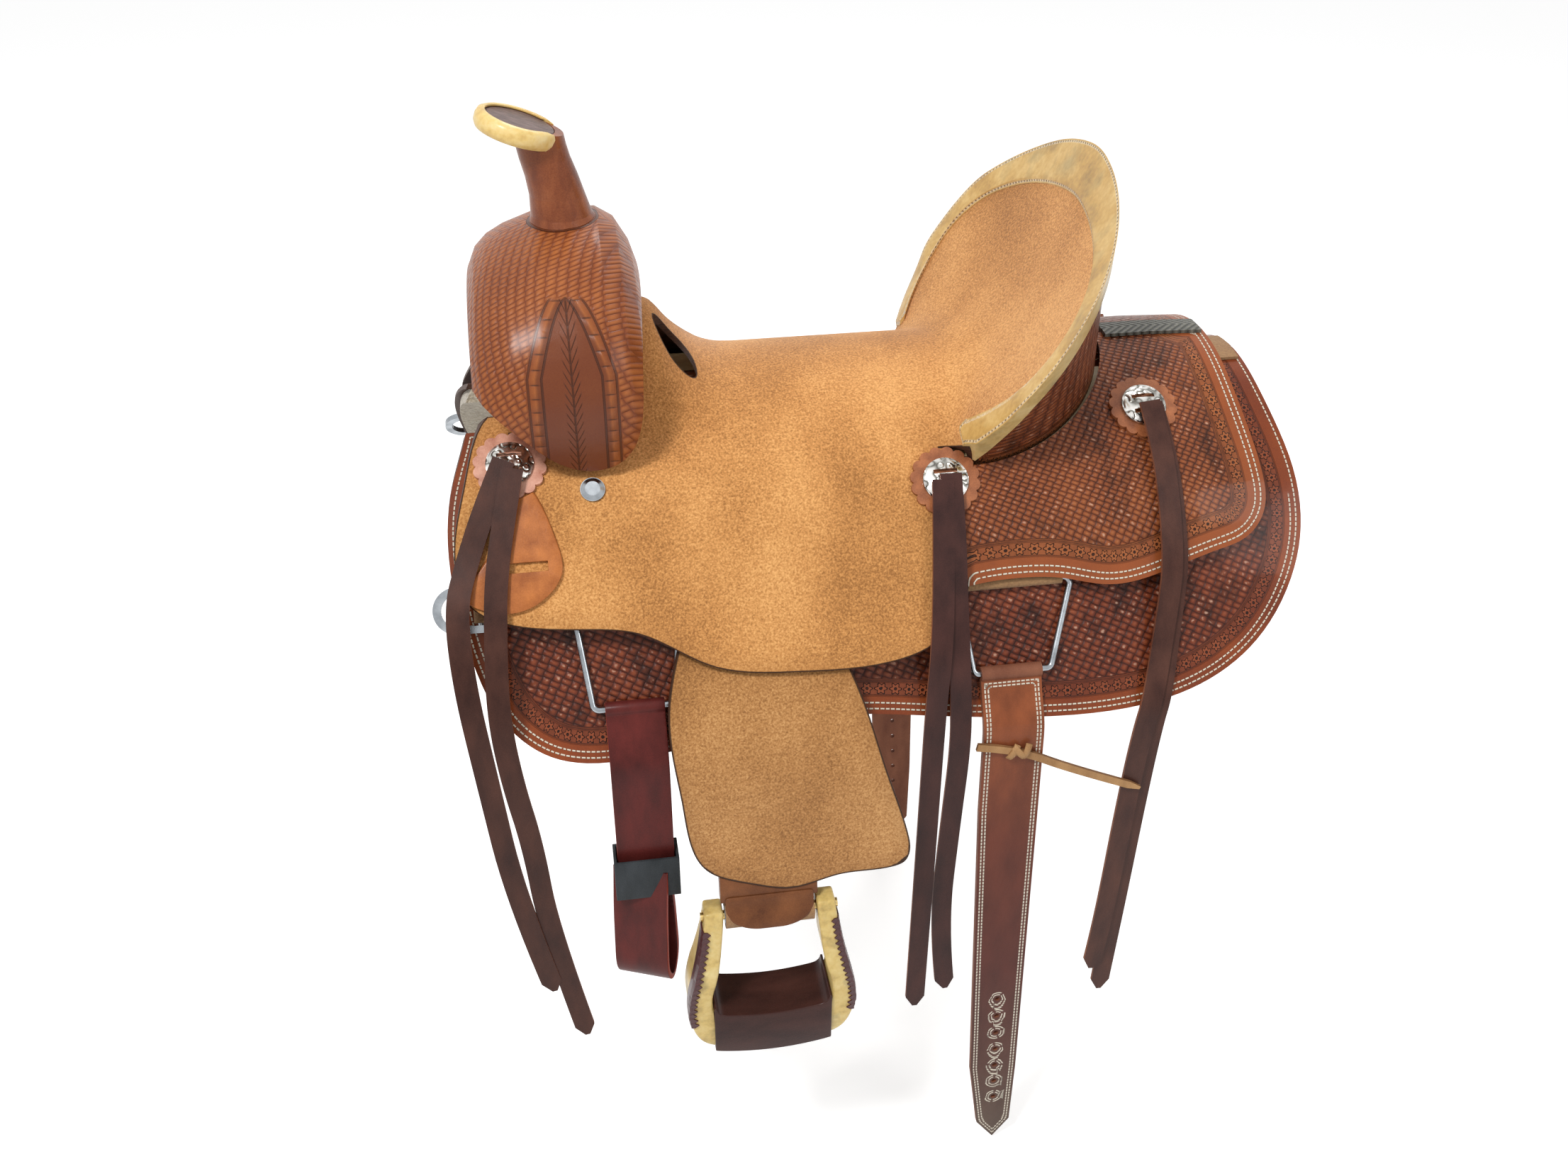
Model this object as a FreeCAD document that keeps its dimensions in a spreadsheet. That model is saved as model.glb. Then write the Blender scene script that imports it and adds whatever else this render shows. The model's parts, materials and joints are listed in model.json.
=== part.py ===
import FreeCAD, Part
import math
import os
from FreeCAD import Vector

# Western saddle, millimetres.  -X is the horse's head, +X its tail, -Y the near side, +Z up.
# The origin is on the spine line, on the underside of the fleece, at mid length.

SIZES = {
    # the horse's back that the fleece lies on: z = -back_curve * y^2
    "back_curve": 0.0047,
    # the layers, outwards from the horse
    "fleece_thick": 12.0,
    "layer_gap": 0.3,
    "skirt_thick": 4.5,
    "bar_thick": 14.7,
    "ground_seat_thick": 2.3,
    "top_layer": 40.0,
    "seat_leather_thick": 5.0,
    "seat_flare": 4.0,
    "jockey_thick": 4.5,
    "bar_inner": 32.0,
    "bar_outer": 122.0,
    "channel_half": 14.0,
    "gullet_half": 62.0,
    "gullet_top": 95.0,
    "pommel_rise": 55.0,
    # fork and horn
    "fork_front": -320.0,
    "fork_back": -178.0,
    "fork_half": 134.0,
    "fork_top": 172.0,
    "fork_foot": -8.0,
    "cover_thick": 4.0,
    "neck_base_x": -238.0,
    "neck_waist_radius": 20.0,
    "cap_x": -267.7,
    "cap_z": 245.8,
    "cap_tilt": 19.0,
    "cap_head_radius": 28.5,
    "cap_head_thick": 7.0,
    "cap_rim_radius": 33.5,
    # cantle
    "rim_back_x": 203.0,
    "rim_half": 118.0,
    "rim_end_x": 62.0,
    "rim_end_z": -4.0,
    "rim_slope": 1.43,
    "dish_depth": 22.0,
    "cantle_board": 30.0,
    "binding_width": 14.0,
    "binding_thick": 2.9,
    # stirrup leathers, fenders and stirrups
    "strap_x": -115.0,
    "hang_station": 126.0,
    "strap_half": 38.0,
    "leather_ply": 3.0,
    "lip_low": 3.9,
    "lip_high": 8.0,
    "lip_top": 20.0,
    "lip_bottom": 42.0,
    "fender_thick": 4.0,
    "fender_bend_at": 150.0,
    "fender_bend_radius": 240.0,
    "fender_bend_angle": 30.0,
    "bolt_drop": 112.0,
    "bolt_radius": 4.0,
    "roller_radius": 8.0,
    "stirrup_depth": 44.0,
    # rigging hardware
    "front_dee_x": -215.0,
    "rear_dee_x": 100.5,
    "dee_station": 156.0,
    "dee_lift": 22.6,
    "dee_lean": 57.6,
    "dee_steel": 5.5,
    "dee_half": 42.0,
    "rear_dee_half": 57.0,
    "dee_bottom_half": 33.0,
    "dee_corner": 5.5,
    "dee_height": 75.0,
    "latigo_half": 24.0,
    "billet_half": 26.0,
    "billet_tip_half": 22.0,
    "billet_end_z": -747.0,
    "billet_hole_radius": 2.6,
    "billet_hole_pitch": 24.0,
    # conchos and strings
    "rosette_radius": 29.5,
    "concho_radius": 19.0,
    "screw_radius": 10.0,
    "string_width": 18.0,
    "string_thick": 3.0,
    "thong_width": 7.0,
}

doc = FreeCAD.newDocument("western_saddle")
sheet = doc.addObject("Spreadsheet::Sheet", "Sizes")
for row, (alias, value) in enumerate(SIZES.items(), 1):
    sheet.set("A%d" % row, alias)
    sheet.set("B%d" % row, str(value))
    sheet.setAlias("B%d" % row, alias)
doc.recompute()


def size(alias):
    return float(sheet.get(alias))


BACK = size("back_curve")
GAP = size("layer_gap")
FLEECE_TOP = size("fleece_thick")
SKIRT_LOW = FLEECE_TOP + GAP
SKIRT_TOP = SKIRT_LOW + size("skirt_thick")
BAR_LOW = SKIRT_TOP + GAP
BAR_TOP = BAR_LOW + size("bar_thick")
TOP = size("top_layer")
SEAT_LEATHER = size("seat_leather_thick")
SEAT_LOW = TOP - SEAT_LEATHER
GROUND_TOP = SEAT_LOW - GAP
GROUND_LOW = GROUND_TOP - size("ground_seat_thick")
Y_AXIS = Vector(0, 1, 0)
BIG = 900.0
nodes = []


# ---------------------------------------------------------------- helpers

def publish(label, shape):
    """One sub-part of the saddle, as a document object of its own."""
    obj = doc.addObject("Part::Feature", label)
    obj.Label = label
    obj.Shape = shape
    nodes.append(obj)
    return obj


def publish_off(near):
    """The off-side twin of a near-side sub-part."""
    label = near.Label.replace("_near", "_off")
    twin = doc.addObject("Part::Mirroring", label)
    twin.Label = label
    twin.Source = near
    twin.Base = Vector(0, 0, 0)
    twin.Normal = Y_AXIS
    nodes.append(twin)
    return twin


def publish_pair(label, shape):
    return publish_off(publish(label, shape))


def mirrored(shape):
    return shape.mirror(Vector(0, 0, 0), Y_AXIS)


def both_sides(shape):
    solids = shape.Solids
    return Part.makeCompound(solids + [mirrored(solid) for solid in solids])


def largest(shape):
    """The main solid of a cut, without the crumbs that a trim can leave."""
    return max(shape.Solids, key=lambda solid: solid.Volume)


def clip(value, low=0.0, high=1.0):
    return max(low, min(high, value))


def smooth(value):
    step = clip(value)
    return step * step * (3 - 2 * step)


def back_angle(station):
    """Slope of the back, from level, at a distance from the spine."""
    return math.atan(2 * BACK * abs(station))


def layer_yz(station, lift):
    """Point of the layer that lies lift above the back, as (y, z)."""
    angle = back_angle(station)
    side = -1 if station < 0 else 1
    y = station + side * lift * math.sin(angle)
    return y, -BACK * station * station + lift * math.cos(angle)


def layer_point(x, station, lift):
    y, z = layer_yz(station, lift)
    return Vector(x, y, z)


def spline(points, closed=False):
    curve = Part.BSplineCurve()
    curve.interpolate(Points=points, PeriodicFlag=closed)
    return curve.toShape()


def closed_spline(points):
    return Part.Wire([spline(points, True)])


def spline_loop(points, closing=()):
    """A smooth edge through the points, closed by straight edges through the closing points."""
    edges = [spline(points)]
    corners = [points[-1]] + list(closing) + [points[0]]
    for start, end in zip(corners, corners[1:]):
        edges.append(Part.LineSegment(start, end).toShape())
    return Part.Wire(edges)


def grown_points(points, distance):
    """Points of an open curve moved square to it."""
    moved = []
    for k, (x, z) in enumerate(points):
        ax, az = points[max(k - 1, 0)]
        bx, bz = points[min(k + 1, len(points) - 1)]
        length = math.hypot(bx - ax, bz - az)
        moved.append((x + distance * (bz - az) / length, z - distance * (bx - ax) / length))
    return moved


def side_prism(points, closing=(), y_from=-BIG, y_to=0.0):
    """Prism across the saddle from a side-view outline of (x, z) points."""
    loop = spline_loop([Vector(x, y_from, z) for x, z in points],
                       [Vector(x, y_from, z) for x, z in closing])
    return Part.Face(loop).extrude(Vector(0, y_to - y_from, 0))


def plan_prism(points, z_from=-BIG, z_to=BIG):
    """Upright prism from a straight-sided plan of (x, y) points."""
    wire = Part.makePolygon([Vector(x, y, z_from) for x, y in points + points[:1]])
    return Part.Face(wire).extrude(Vector(0, 0, z_to - z_from))


def band(low, high, station_from, station_to, x_from, x_to):
    """Sheet of even thickness laid along the back between two lifts."""
    count = 24
    step = (station_to - station_from) / (count - 1.0)
    stations = [station_from + step * k for k in range(count)]
    outer = [layer_point(x_from, s, high) for s in stations]
    inner = [layer_point(x_from, s, low) for s in stations]
    wire = Part.Wire([spline(outer), Part.LineSegment(outer[-1], inner[-1]).toShape(),
                      spline(inner[::-1]), Part.LineSegment(inner[0], outer[0]).toShape()])
    return Part.Face(wire).extrude(Vector(x_to - x_from, 0, 0))


def skin_surface(point_at, offset, us, vs):
    """Smooth face through point_at(u, v), moved along its own normal."""
    rows = []
    for u in us:
        row = []
        for v in vs:
            point = point_at(u, v)
            if offset:
                along = point_at(u + 1, v) - point_at(u - 1, v)
                across = point_at(u, v + 1) - point_at(u, v - 1)
                point = point + along.cross(across).normalize() * offset
            row.append(point)
        rows.append(row)
    surface = Part.BSplineSurface()
    surface.interpolate(rows)
    return surface


def spread(low, high, count):
    return [low + (high - low) * k / (count - 1.0) for k in range(count)]


def skin_solid(low, high, us, vs):
    """Solid between two skins over the same grid; low and high are (point function, offset)."""
    surfaces = [skin_surface(point_at, offset, us, vs) for point_at, offset in (low, high)]
    faces = [surface.toShape() for surface in surfaces]
    u0, u1, v0, v1 = surfaces[0].bounds()
    for iso, value in (("uIso", u0), ("uIso", u1), ("vIso", v0), ("vIso", v1)):
        edges = [getattr(surface, iso)(value).toShape() for surface in surfaces]
        faces.append(Part.makeRuledSurface(*edges))
    shell = Part.makeShell(faces)
    shell.sewShape()
    solid = Part.makeSolid(shell)
    if solid.Volume < 0:
        solid.reverse()
    return solid


# ---------------------------------------------------------------- the seat's form

RIM_BACK = size("rim_back_x")
RIM_HALF = size("rim_half")
RIM_END_X = size("rim_end_x")
RIM_END_Z = size("rim_end_z")
RIM_SLOPE = size("rim_slope")
FOOT_Z = -30.0


def rim_height(x):
    return RIM_END_Z + RIM_SLOPE * (x - RIM_END_X)


def soft_max(a, b, width):
    overlap = max(width - abs(a - b), 0.0) / width
    return max(a, b) + overlap * overlap * width / 4.0


def seat_lift(x, station):
    """Lift of the seat above the back: up to the pommel in front, and out over the fenders."""
    near_fork = clip((-95.0 - x) / 80.0)
    ahead_of_fork = clip((x + 300.0) / 100.0)
    crown = max(1 - (station / 70.0) ** 2, 0.0) ** 2
    pommel = size("pommel_rise") * near_fork ** 2 * ahead_of_fork * crown
    over_fender = smooth((x + 235.0) / 40.0) * smooth((70.0 - x) / 40.0)
    return TOP + pommel + size("seat_flare") * over_fender * smooth((abs(station) - 150.0) / 35.0)


def seat_station(x, y):
    """Distance from the spine of the point of the back that lies under a point of the seat."""
    low, high = 0.0, abs(y) + 1.0
    while high - low > 0.001:
        middle = (low + high) / 2.0
        if middle + seat_lift(x, middle) * math.sin(back_angle(middle)) > abs(y):
            high = middle
        else:
            low = middle
    return low


def seat_point(x, y):
    """Top of the seat: level over the bars, up to the pommel, and up the dished cantle face."""
    station = seat_station(x, y)
    level = layer_yz(station, seat_lift(x, station))[1]
    hollow = max(0.0, 1 - (y / 165.0) ** 2) * max(0.0, 1 - ((x - 150.0) / 62.0) ** 2)
    cantle = rim_height(x) - size("dish_depth") * hollow
    if x < RIM_END_X + 40:
        beyond_rim = abs(y) - (RIM_HALF + 1.4 * (x - RIM_END_X))
        cantle -= 1.6 * soft_max(0.0, beyond_rim, 24.0)
    return Vector(x, y, soft_max(level, cantle, 24.0))


def bezier(points, at):
    a, b, c, d = points
    return [(1 - at) ** 3 * p + 3 * (1 - at) ** 2 * at * q + 3 * (1 - at) * at ** 2 * r + at ** 3 * s
            for p, q, r, s in zip(a, b, c, d)]


def inset_plan(points, at, inset):
    """Point of a plan curve moved inwards, square to the curve."""
    x0, y0 = bezier(points, clip(at - 0.01))
    x1, y1 = bezier(points, clip(at + 0.01))
    length = math.hypot(x1 - x0, y1 - y0)
    x, y = bezier(points, at)
    return x - inset * (y1 - y0) / length, y + inset * (x1 - x0) / length


RIM_PLAN = [(RIM_BACK, 0), (RIM_BACK - 3, 160), (120, 222), (RIM_END_X, RIM_HALF)]
FOOT_PLAN = [(RIM_BACK + 18, 0), (RIM_BACK + 16, 62), (150, 110), (RIM_END_X, RIM_HALF - 2)]


def cantle_column(inset):
    """Solid from below the cantle's foot to above its rim, with the cantle's back as its wall."""
    foot_arch = []
    top_arch = []
    for at in spread(0.0, 1.0, 15):
        rx, ry = inset_plan(RIM_PLAN, at, inset)
        fx, fy = inset_plan(FOOT_PLAN, at, inset)
        rim_z = rim_height(rx)
        above = RIM_END_Z + 40.0 - FOOT_Z + RIM_SLOPE * (fx - RIM_END_X)
        level = above / (rim_z - FOOT_Z - RIM_SLOPE * (rx - fx))
        foot = Vector(fx, -fy, FOOT_Z)
        foot_arch.append(foot)
        top_arch.append(foot + (Vector(rx, -ry, rim_z) - foot) * level)
    loops = []
    for arch in (foot_arch, top_arch):
        near_half = arch[:0:-1]
        middle = Vector(arch[0].x, 0, arch[0].z)
        off_half = [Vector(p.x, -p.y, p.z) for p in arch[1:]]
        loops.append(spline_loop(near_half + [middle] + off_half))
    return Part.makeLoft(loops, True, True)


def jockey_lift(x, station):
    """The rear jockeys run level over the bars, then down towards the skirt."""
    fall = 8.0 * smooth((abs(station) - 118.0) / 50.0)
    return TOP - 3.0 * clip((x - 268.0) / 80.0) - fall


def jockey_point(x, station):
    return layer_point(x, station, jockey_lift(x, station))


# Grid shared by every skin that follows the seat, so that neighbours never cross.
SEAT_X = spread(-350.0, 228.0, 56)
SEAT_Y = spread(-226.0, 226.0, 64)


def seat_region(low, high):
    """Solid between two skins at offsets from the seat's top."""
    return skin_solid((seat_point, low), (seat_point, high), SEAT_X, SEAT_Y)


def under_seat(offset):
    """Solid from the layer on the bars up to a skin at an offset from the seat's top."""
    low = (lambda x, y: Vector(x, y, -200.0), 0.0)
    return skin_solid(low, (seat_point, offset), SEAT_X, SEAT_Y).cut(below_layer(BAR_TOP + GAP))


def below_layer(lift, x_from=-360.0, x_to=240.0):
    """Everything under one layer."""
    stations = [-200 + 10 * k for k in range(41)]
    points = [layer_point(x_from, s, lift) for s in stations]
    loop = spline_loop(points, [Vector(x_from, points[-1].y, -400), Vector(x_from, points[0].y, -400)])
    return Part.Face(loop).extrude(Vector(x_to - x_from, 0, 0))


# ---------------------------------------------------------------- places on the saddle

def surface_axes(station):
    """Unit vectors down the slope and outwards, on the near side for a negative station."""
    angle = back_angle(station)
    side = -1 if station < 0 else 1
    down = Vector(0, side * math.cos(angle), -math.sin(angle))
    out = Vector(0, side * math.sin(angle), math.cos(angle))
    return down, out


def disc(x, station, low, high, radius, top_radius=None):
    """Round piece whose axis stands square on the back at a station."""
    _, out = surface_axes(station)
    base = layer_point(x, station, low)
    if top_radius is None:
        return Part.makeCylinder(radius, high - low, base, out)
    return Part.makeCone(radius, top_radius, high - low, base, out)


def flat_frame(x, station, lift):
    """Placement with its x along the saddle, y up the slope and z outwards."""
    down, out = surface_axes(station)
    up = down * -1
    along = up.cross(out)
    return FreeCAD.Placement(FreeCAD.Matrix(along.x, up.x, out.x, x,
                                            along.y, up.y, out.y, layer_yz(station, lift)[0],
                                            along.z, up.z, out.z, layer_yz(station, lift)[1],
                                            0, 0, 0, 1))


HANG_STATION = size("hang_station")
STRAP_X = size("strap_x")
HANG_DOWN, HANG_OUT = surface_axes(-HANG_STATION)
HANG_PIVOT = layer_point(STRAP_X, -HANG_STATION, SKIRT_TOP) - HANG_DOWN * 60.0
BEND_AT = size("fender_bend_at")
BEND_RADIUS = size("fender_bend_radius")
BEND_ANGLE = math.radians(size("fender_bend_angle"))
FENDER_LOW = 7.1
BEND_LENGTH = BEND_RADIUS * BEND_ANGLE


def hang(u, v, h):
    """Point of the stirrup leather: u across, v down along the strap, h off the skirt's plane."""
    turn = clip((v - BEND_AT) / BEND_RADIUS, 0.0, BEND_ANGLE)
    out = HANG_OUT * math.cos(turn) + HANG_DOWN * math.sin(turn)
    down = HANG_DOWN * math.cos(turn) - HANG_OUT * math.sin(turn)
    centre = HANG_PIVOT + HANG_DOWN * min(v, BEND_AT) + HANG_OUT * (FENDER_LOW - BEND_RADIUS)
    point = centre + out * (BEND_RADIUS + h - FENDER_LOW)
    point = point + down * max(v - BEND_AT - BEND_LENGTH, 0.0)
    return point + Vector(u, 0, 0)


def hang_edge(v_from, v_to, h_from, h_to, u):
    """Edge down the leather: straight, or smooth through the bend."""
    count = 2 if max(v_from, v_to) <= BEND_AT or min(v_from, v_to) >= BEND_AT + BEND_LENGTH else 15
    points = []
    for k in range(count):
        at = k / (count - 1.0)
        points.append(hang(u, v_from + (v_to - v_from) * at, h_from + (h_to - h_from) * at))
    if count == 2:
        return Part.LineSegment(*points).toShape()
    return spline(points)


def hang_strip(corners, u_from, u_to):
    """Prism across the leather from a section of (v, h) corners."""
    edges = []
    knots = [BEND_AT, BEND_AT + BEND_LENGTH]
    for (v0, h0), (v1, h1) in zip(corners, corners[1:] + corners[:1]):
        stops = sorted(k for k in knots if min(v0, v1) < k < max(v0, v1))
        if v1 < v0:
            stops.reverse()
        levels = [v0] + stops + [v1]
        for a, b in zip(levels, levels[1:]):
            ha, hb = [h0 if v1 == v0 else h0 + (h1 - h0) * (v - v0) / (v1 - v0) for v in (a, b)]
            if v1 == v0:
                ha, hb = h0, h1
            edges.append(hang_edge(a, b, ha, hb, u_from))
    return Part.Face(Part.Wire(edges)).extrude(Vector(u_to - u_from, 0, 0))


def hang_box(u_half, v_from, v_to, h_from, h_to):
    corners = [(v_from, h_from), (v_from, h_to), (v_to, h_to), (v_to, h_from)]
    return hang_strip(corners, -u_half, u_half)


# ---------------------------------------------------------------- fleece and skirts

SKIRT_OUTLINE = [(354, 40), (357, 0), (368, -40), (368, -85), (352, -125), (318, -165), (270, -192),
                 (200, -206), (110, -205), (30, -197), (-40, -190), (-130, -196), (-230, -208),
                 (-285, -200), (-320, -172), (-340, -130), (-351, -80), (-347, -20), (-332, 10),
                 (-325, 40)]


def spine_channel():
    """Plan of the open channel over the horse's spine; it closes behind the cantle."""
    half = size("channel_half")
    plan = [(-400, 48), (-230, 48), (-150, half), (205, half), (225, 1), (400, 1)]
    return plan_prism(plan + [(x, -y) for x, y in plan[::-1]])


def build_skirts():
    channel = spine_channel()
    outline = side_prism(SKIRT_OUTLINE)
    sheet_of_leather = band(SKIRT_LOW, SKIRT_TOP, -250, 0, -380, 380)
    publish_pair("skirt_near", sheet_of_leather.common(outline).cut(channel))
    inner_outline = side_prism([(x * 0.985, z * 0.985) for x, z in SKIRT_OUTLINE])
    wool = band(0, FLEECE_TOP, -250, 0, -380, 380).common(inner_outline).cut(channel)
    publish("fleece_lining", both_sides(wool))
    tab = band(SKIRT_TOP + GAP, SKIRT_TOP + 3.0, -20, 20, 326, 350)
    publish("skirt_connector", tab)


# ---------------------------------------------------------------- the tree

BAR_OUTLINE = [(-300, -20), (-285, -52), (-230, -62), (-60, -55), (120, -62), (250, -68),
               (288, -45), (292, 0), (285, 60)]


def build_tree_bars():
    bar = band(BAR_LOW, BAR_TOP, -size("bar_outer"), -size("bar_inner"), -310, 300)
    bar = bar.common(side_prism(BAR_OUTLINE, [(-280, 60)]))
    lip_low, lip_high = size("lip_low"), size("lip_high")
    top, bottom = size("lip_top"), size("lip_bottom")
    room = size("strap_half") + 24.0
    # the leather's way round the lip, with the swing of the strap
    cuts = [hang_box(room - 17, -16, top, -12, 30),
            hang_box(room, -16, 60, -12, lip_low),
            hang_box(room, -16, 60, lip_high, 30),
            hang_box(room, bottom, 80, -12, 30),
            hang_box(room + 38, bottom + 10, 90, -12, 30)]
    for cut in cuts:
        bar = bar.cut(cut)
    publish("tree_bars", both_sides(largest(bar)))


FORK_OUTLINE = [(112, -26), (119, 0), (128, 28), (134, 62), (124, 100), (100, 131), (68, 154), (36, 167),
                (0, 172)]
FORK_STATIONS = [(0.0, 20, 46), (0.05, 11, 30), (0.12, 6, 20), (0.22, 2, 12), (0.4, 0, 2.5), (0.6, 0, 0),
                 (0.76, 1, 1), (0.86, 5, 10), (0.94, 14, 30), (1.0, 30, 58)]


FORK_TONGUE = [(-345, 92), (-306, 60), (-284, 38), (-262, 15), (-234, 2), (-207, 10), (-194, 32),
               (-189, 64), (-184, 112), (-168, 150)]


def fork_block(inset):
    """The fork's swelling block, moved inwards by an inset."""
    front, back = size("fork_front") + inset, size("fork_back") - inset
    half, top, foot = size("fork_half"), size("fork_top"), size("fork_foot")
    loops = []
    for at, side, crown in FORK_STATIONS:
        x = front + (back - front) * at
        wide = 1 - (side + inset) / half
        tall = 1 - (crown + inset) / (top - foot)
        near = [Vector(x, -y * wide, foot + (z - foot) * tall) for y, z in FORK_OUTLINE]
        off = [Vector(p.x, -p.y, p.z) for p in near[-2::-1]]
        loops.append(spline_loop(near + off))
    return Part.makeLoft(loops, True, True)


def fork_solid(inset):
    """The fork's outside: its legs end in rounded tongues, cut back below at the front."""
    tongue = side_prism(grown_points(FORK_TONGUE, -inset), [(-168, 300), (-345, 300)], -BIG, BIG)
    return fork_block(inset).common(tongue)


def gullet(x_from=-370.0, x_to=-178.0, grow=0.0):
    """Arched tunnel under the fork."""
    half, top = size("gullet_half") + grow, size("gullet_top") + grow
    arch = []
    for k in range(13):
        angle = math.pi * k / 12.0
        arch.append(Vector(x_from, -half * math.cos(angle), 10 + (top - 10) * math.sin(angle)))
    loop = spline_loop(arch, [Vector(x_from, half, -120), Vector(x_from, -half, -120)])
    return Part.Face(loop).extrude(Vector(x_to - x_from, 0, 0))


HORN_WRAP = [(158, 13.0, 0.0), (166, 8.5, 0.0), (174, 4.6, -1.8), (190, 2.0, -4.1), (205, 0.8, -7.3),
             (219, 0.0, -11.4), (229, -0.3, -13.5), (240, 0.0, -15.7), (256, 0.5, -18.6)]


def horn_neck(inset, low=None):
    """Leaning neck of the horn; low gives a straight run on down into the fork."""
    circles = []
    rings = list(HORN_WRAP)
    if low is not None:
        rings = [(low, 10.0, 0.0)] + rings
    for z, flare, lean in rings:
        radius = size("neck_waist_radius") + flare - inset
        centre = Vector(size("neck_base_x") + lean, 0, z)
        circles.append(Part.Wire([Part.makeCircle(radius, centre, Vector(0, 0, 1))]))
    return Part.makeLoft(circles, True, True)


def cap_placement():
    turn = FreeCAD.Rotation(Y_AXIS, size("cap_tilt"))
    return FreeCAD.Placement(Vector(size("cap_x"), 0, size("cap_z")), turn)


def cap_shape(shape):
    shape.Placement = cap_placement()
    return shape


def under_cap(top):
    """Everything below a level across the cap's axis."""
    return cap_shape(Part.makeBox(200, 200, 200, Vector(-100, -100, top - 200)))


def cap_disc(radius, low, high):
    return cap_shape(Part.makeCylinder(radius, high - low, Vector(0, 0, low)))


def cap_ring(profile):
    """Ring of revolution about the cap's axis, from (radius, height) corners."""
    wire = Part.makePolygon([Vector(r, 0, z) for r, z in profile + profile[:1]])
    return cap_shape(Part.Face(wire).revolve(Vector(0, 0, 0), Vector(0, 0, 1), 360))


def build_fork_and_horn():
    arch = gullet()
    floor = below_layer(BAR_TOP + GAP)
    inside = fork_solid(size("cover_thick") + GAP)
    hole = horn_neck(size("cover_thick") - 0.5, 100.0)
    head_top, head_radius = -1.0, size("cap_head_radius")
    head_low = head_top - size("cap_head_thick")
    leather_top = 2.5
    head = cap_disc(head_radius, head_low, head_top)
    core = horn_neck(size("cover_thick"), 140.0).common(under_cap(head_low)).fuse(head).removeSplitter()
    wrap = horn_neck(0.0).common(under_cap(leather_top)).cut(fork_solid(-GAP))
    wrap = wrap.cut(horn_neck(size("cover_thick") - GAP, 150.0).common(under_cap(head_low)))
    wrap = wrap.cut(cap_disc(head_radius + GAP, head_low - GAP, leather_top + 1.0))
    fork = fork_solid(size("cover_thick") + GAP).cut(arch).cut(floor)
    fork = fork.cut(horn_neck(size("cover_thick") - GAP, 139.7))
    cover = fork_solid(0.0).cut(inside).cut(arch).cut(floor).cut(hole)
    publish("tree_fork", largest(fork))
    publish("fork_cover", largest(cover))
    publish("horn_core", core)
    publish("horn_wrap", largest(wrap))
    publish("horn_cap", cap_disc(head_radius, head_top + GAP, leather_top))
    rim = size("cap_rim_radius")
    inside, lip = rim - 4.7, leather_top + GAP
    binding = cap_ring([(inside, -9.5), (rim - 2, -9.5), (rim, -5.5), (rim, -0.5), (rim - 1.5, 3.3),
                        (rim - 4.5, 5.0), (rim - 7, 5.0), (rim - 7, lip), (inside, lip)])
    publish("horn_binding", largest(binding.cut(horn_neck(-GAP))))


def build_ground_seat():
    seat = band(GROUND_LOW, GROUND_TOP, -95, 95, -132, 66)
    for window in (hang_box(62, -20, 60, -20, 40), mirrored(hang_box(62, -20, 60, -20, 40))):
        seat = seat.cut(window)
    publish("ground_seat", largest(seat))


# ---------------------------------------------------------------- seat, cantle and jockeys

SEAT_OUTLINE = [(-310, 29), (-321, 22), (-335, -6), (-346, -41), (-340, -75), (-306, -93),
                (-225, -102), (-208, -105), (-154, -129), (-85, -139), (-3, -138), (42, -120),
                (58, -79), (65, -35), (65, -5)]
JOCKEY_OUTLINE = [(320, 60), (320, 37), (322, 11), (330, -35), (328, -60), (312, -78), (285, -86),
                  (240, -97), (205, -104), (183, -104), (148, -97), (112, -94), (66, -97)]
HAND_HOLE = [(-172, -16), (-166, -36), (-154, -46), (-142, -48), (-140, -36), (-146, -22), (-158, -14)]
ROSETTE_PLACES = [(-298.0, 79.0), (54.0, 106.0), (235.0, 71.0)]


def rosette_wells():
    """Room for the rosettes, down to the layer that they lie on."""
    radius = size("rosette_radius") + 0.6
    floor = below_layer(TOP + 0.15)
    wells = [disc(x, -s, TOP - 4.0, TOP + 70.0, radius).cut(floor) for x, s in ROSETTE_PLACES]
    return wells + [mirrored(well) for well in wells]


def build_seat():
    leather = seat_region(-SEAT_LEATHER, 0.0)
    outline = side_prism(SEAT_OUTLINE, [(232, -5), (232, 320), (-310, 320)], -BIG, BIG)
    leather = leather.common(outline)
    behind = Part.makeBox(400, 800, 900, Vector(66, -400, -400)).cut(cantle_column(0.5))
    leather = leather.cut(behind).cut(fork_solid(-0.4)).cut(gullet(-370, -185, 0.0))
    hole = Part.Face(closed_spline([Vector(x, y, 0) for x, y in HAND_HOLE])).extrude(Vector(0, 0, 300))
    leather = leather.cut(hole).cut(mirrored(hole))
    for well in rosette_wells():
        leather = leather.cut(well)
    publish("seat_leather", largest(leather))


def build_cantle():
    board = under_seat(-SEAT_LEATHER - GAP)
    thick = size("cover_thick")
    inner = cantle_column(thick + GAP)
    core = board.common(inner).cut(cantle_column(thick + size("cantle_board")))
    core = core.common(Part.makeBox(200, 800, 500, Vector(75, -400, -100)))
    cover = board.common(cantle_column(0.0)).cut(cantle_column(thick))
    cover = cover.common(Part.makeBox(200, 800, 500, Vector(70, -400, -100)))
    for well in rosette_wells():
        core = core.cut(well)
        cover = cover.cut(well)
    publish("tree_cantle", largest(core))
    publish("cantle_back_cover", largest(cover))


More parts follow.
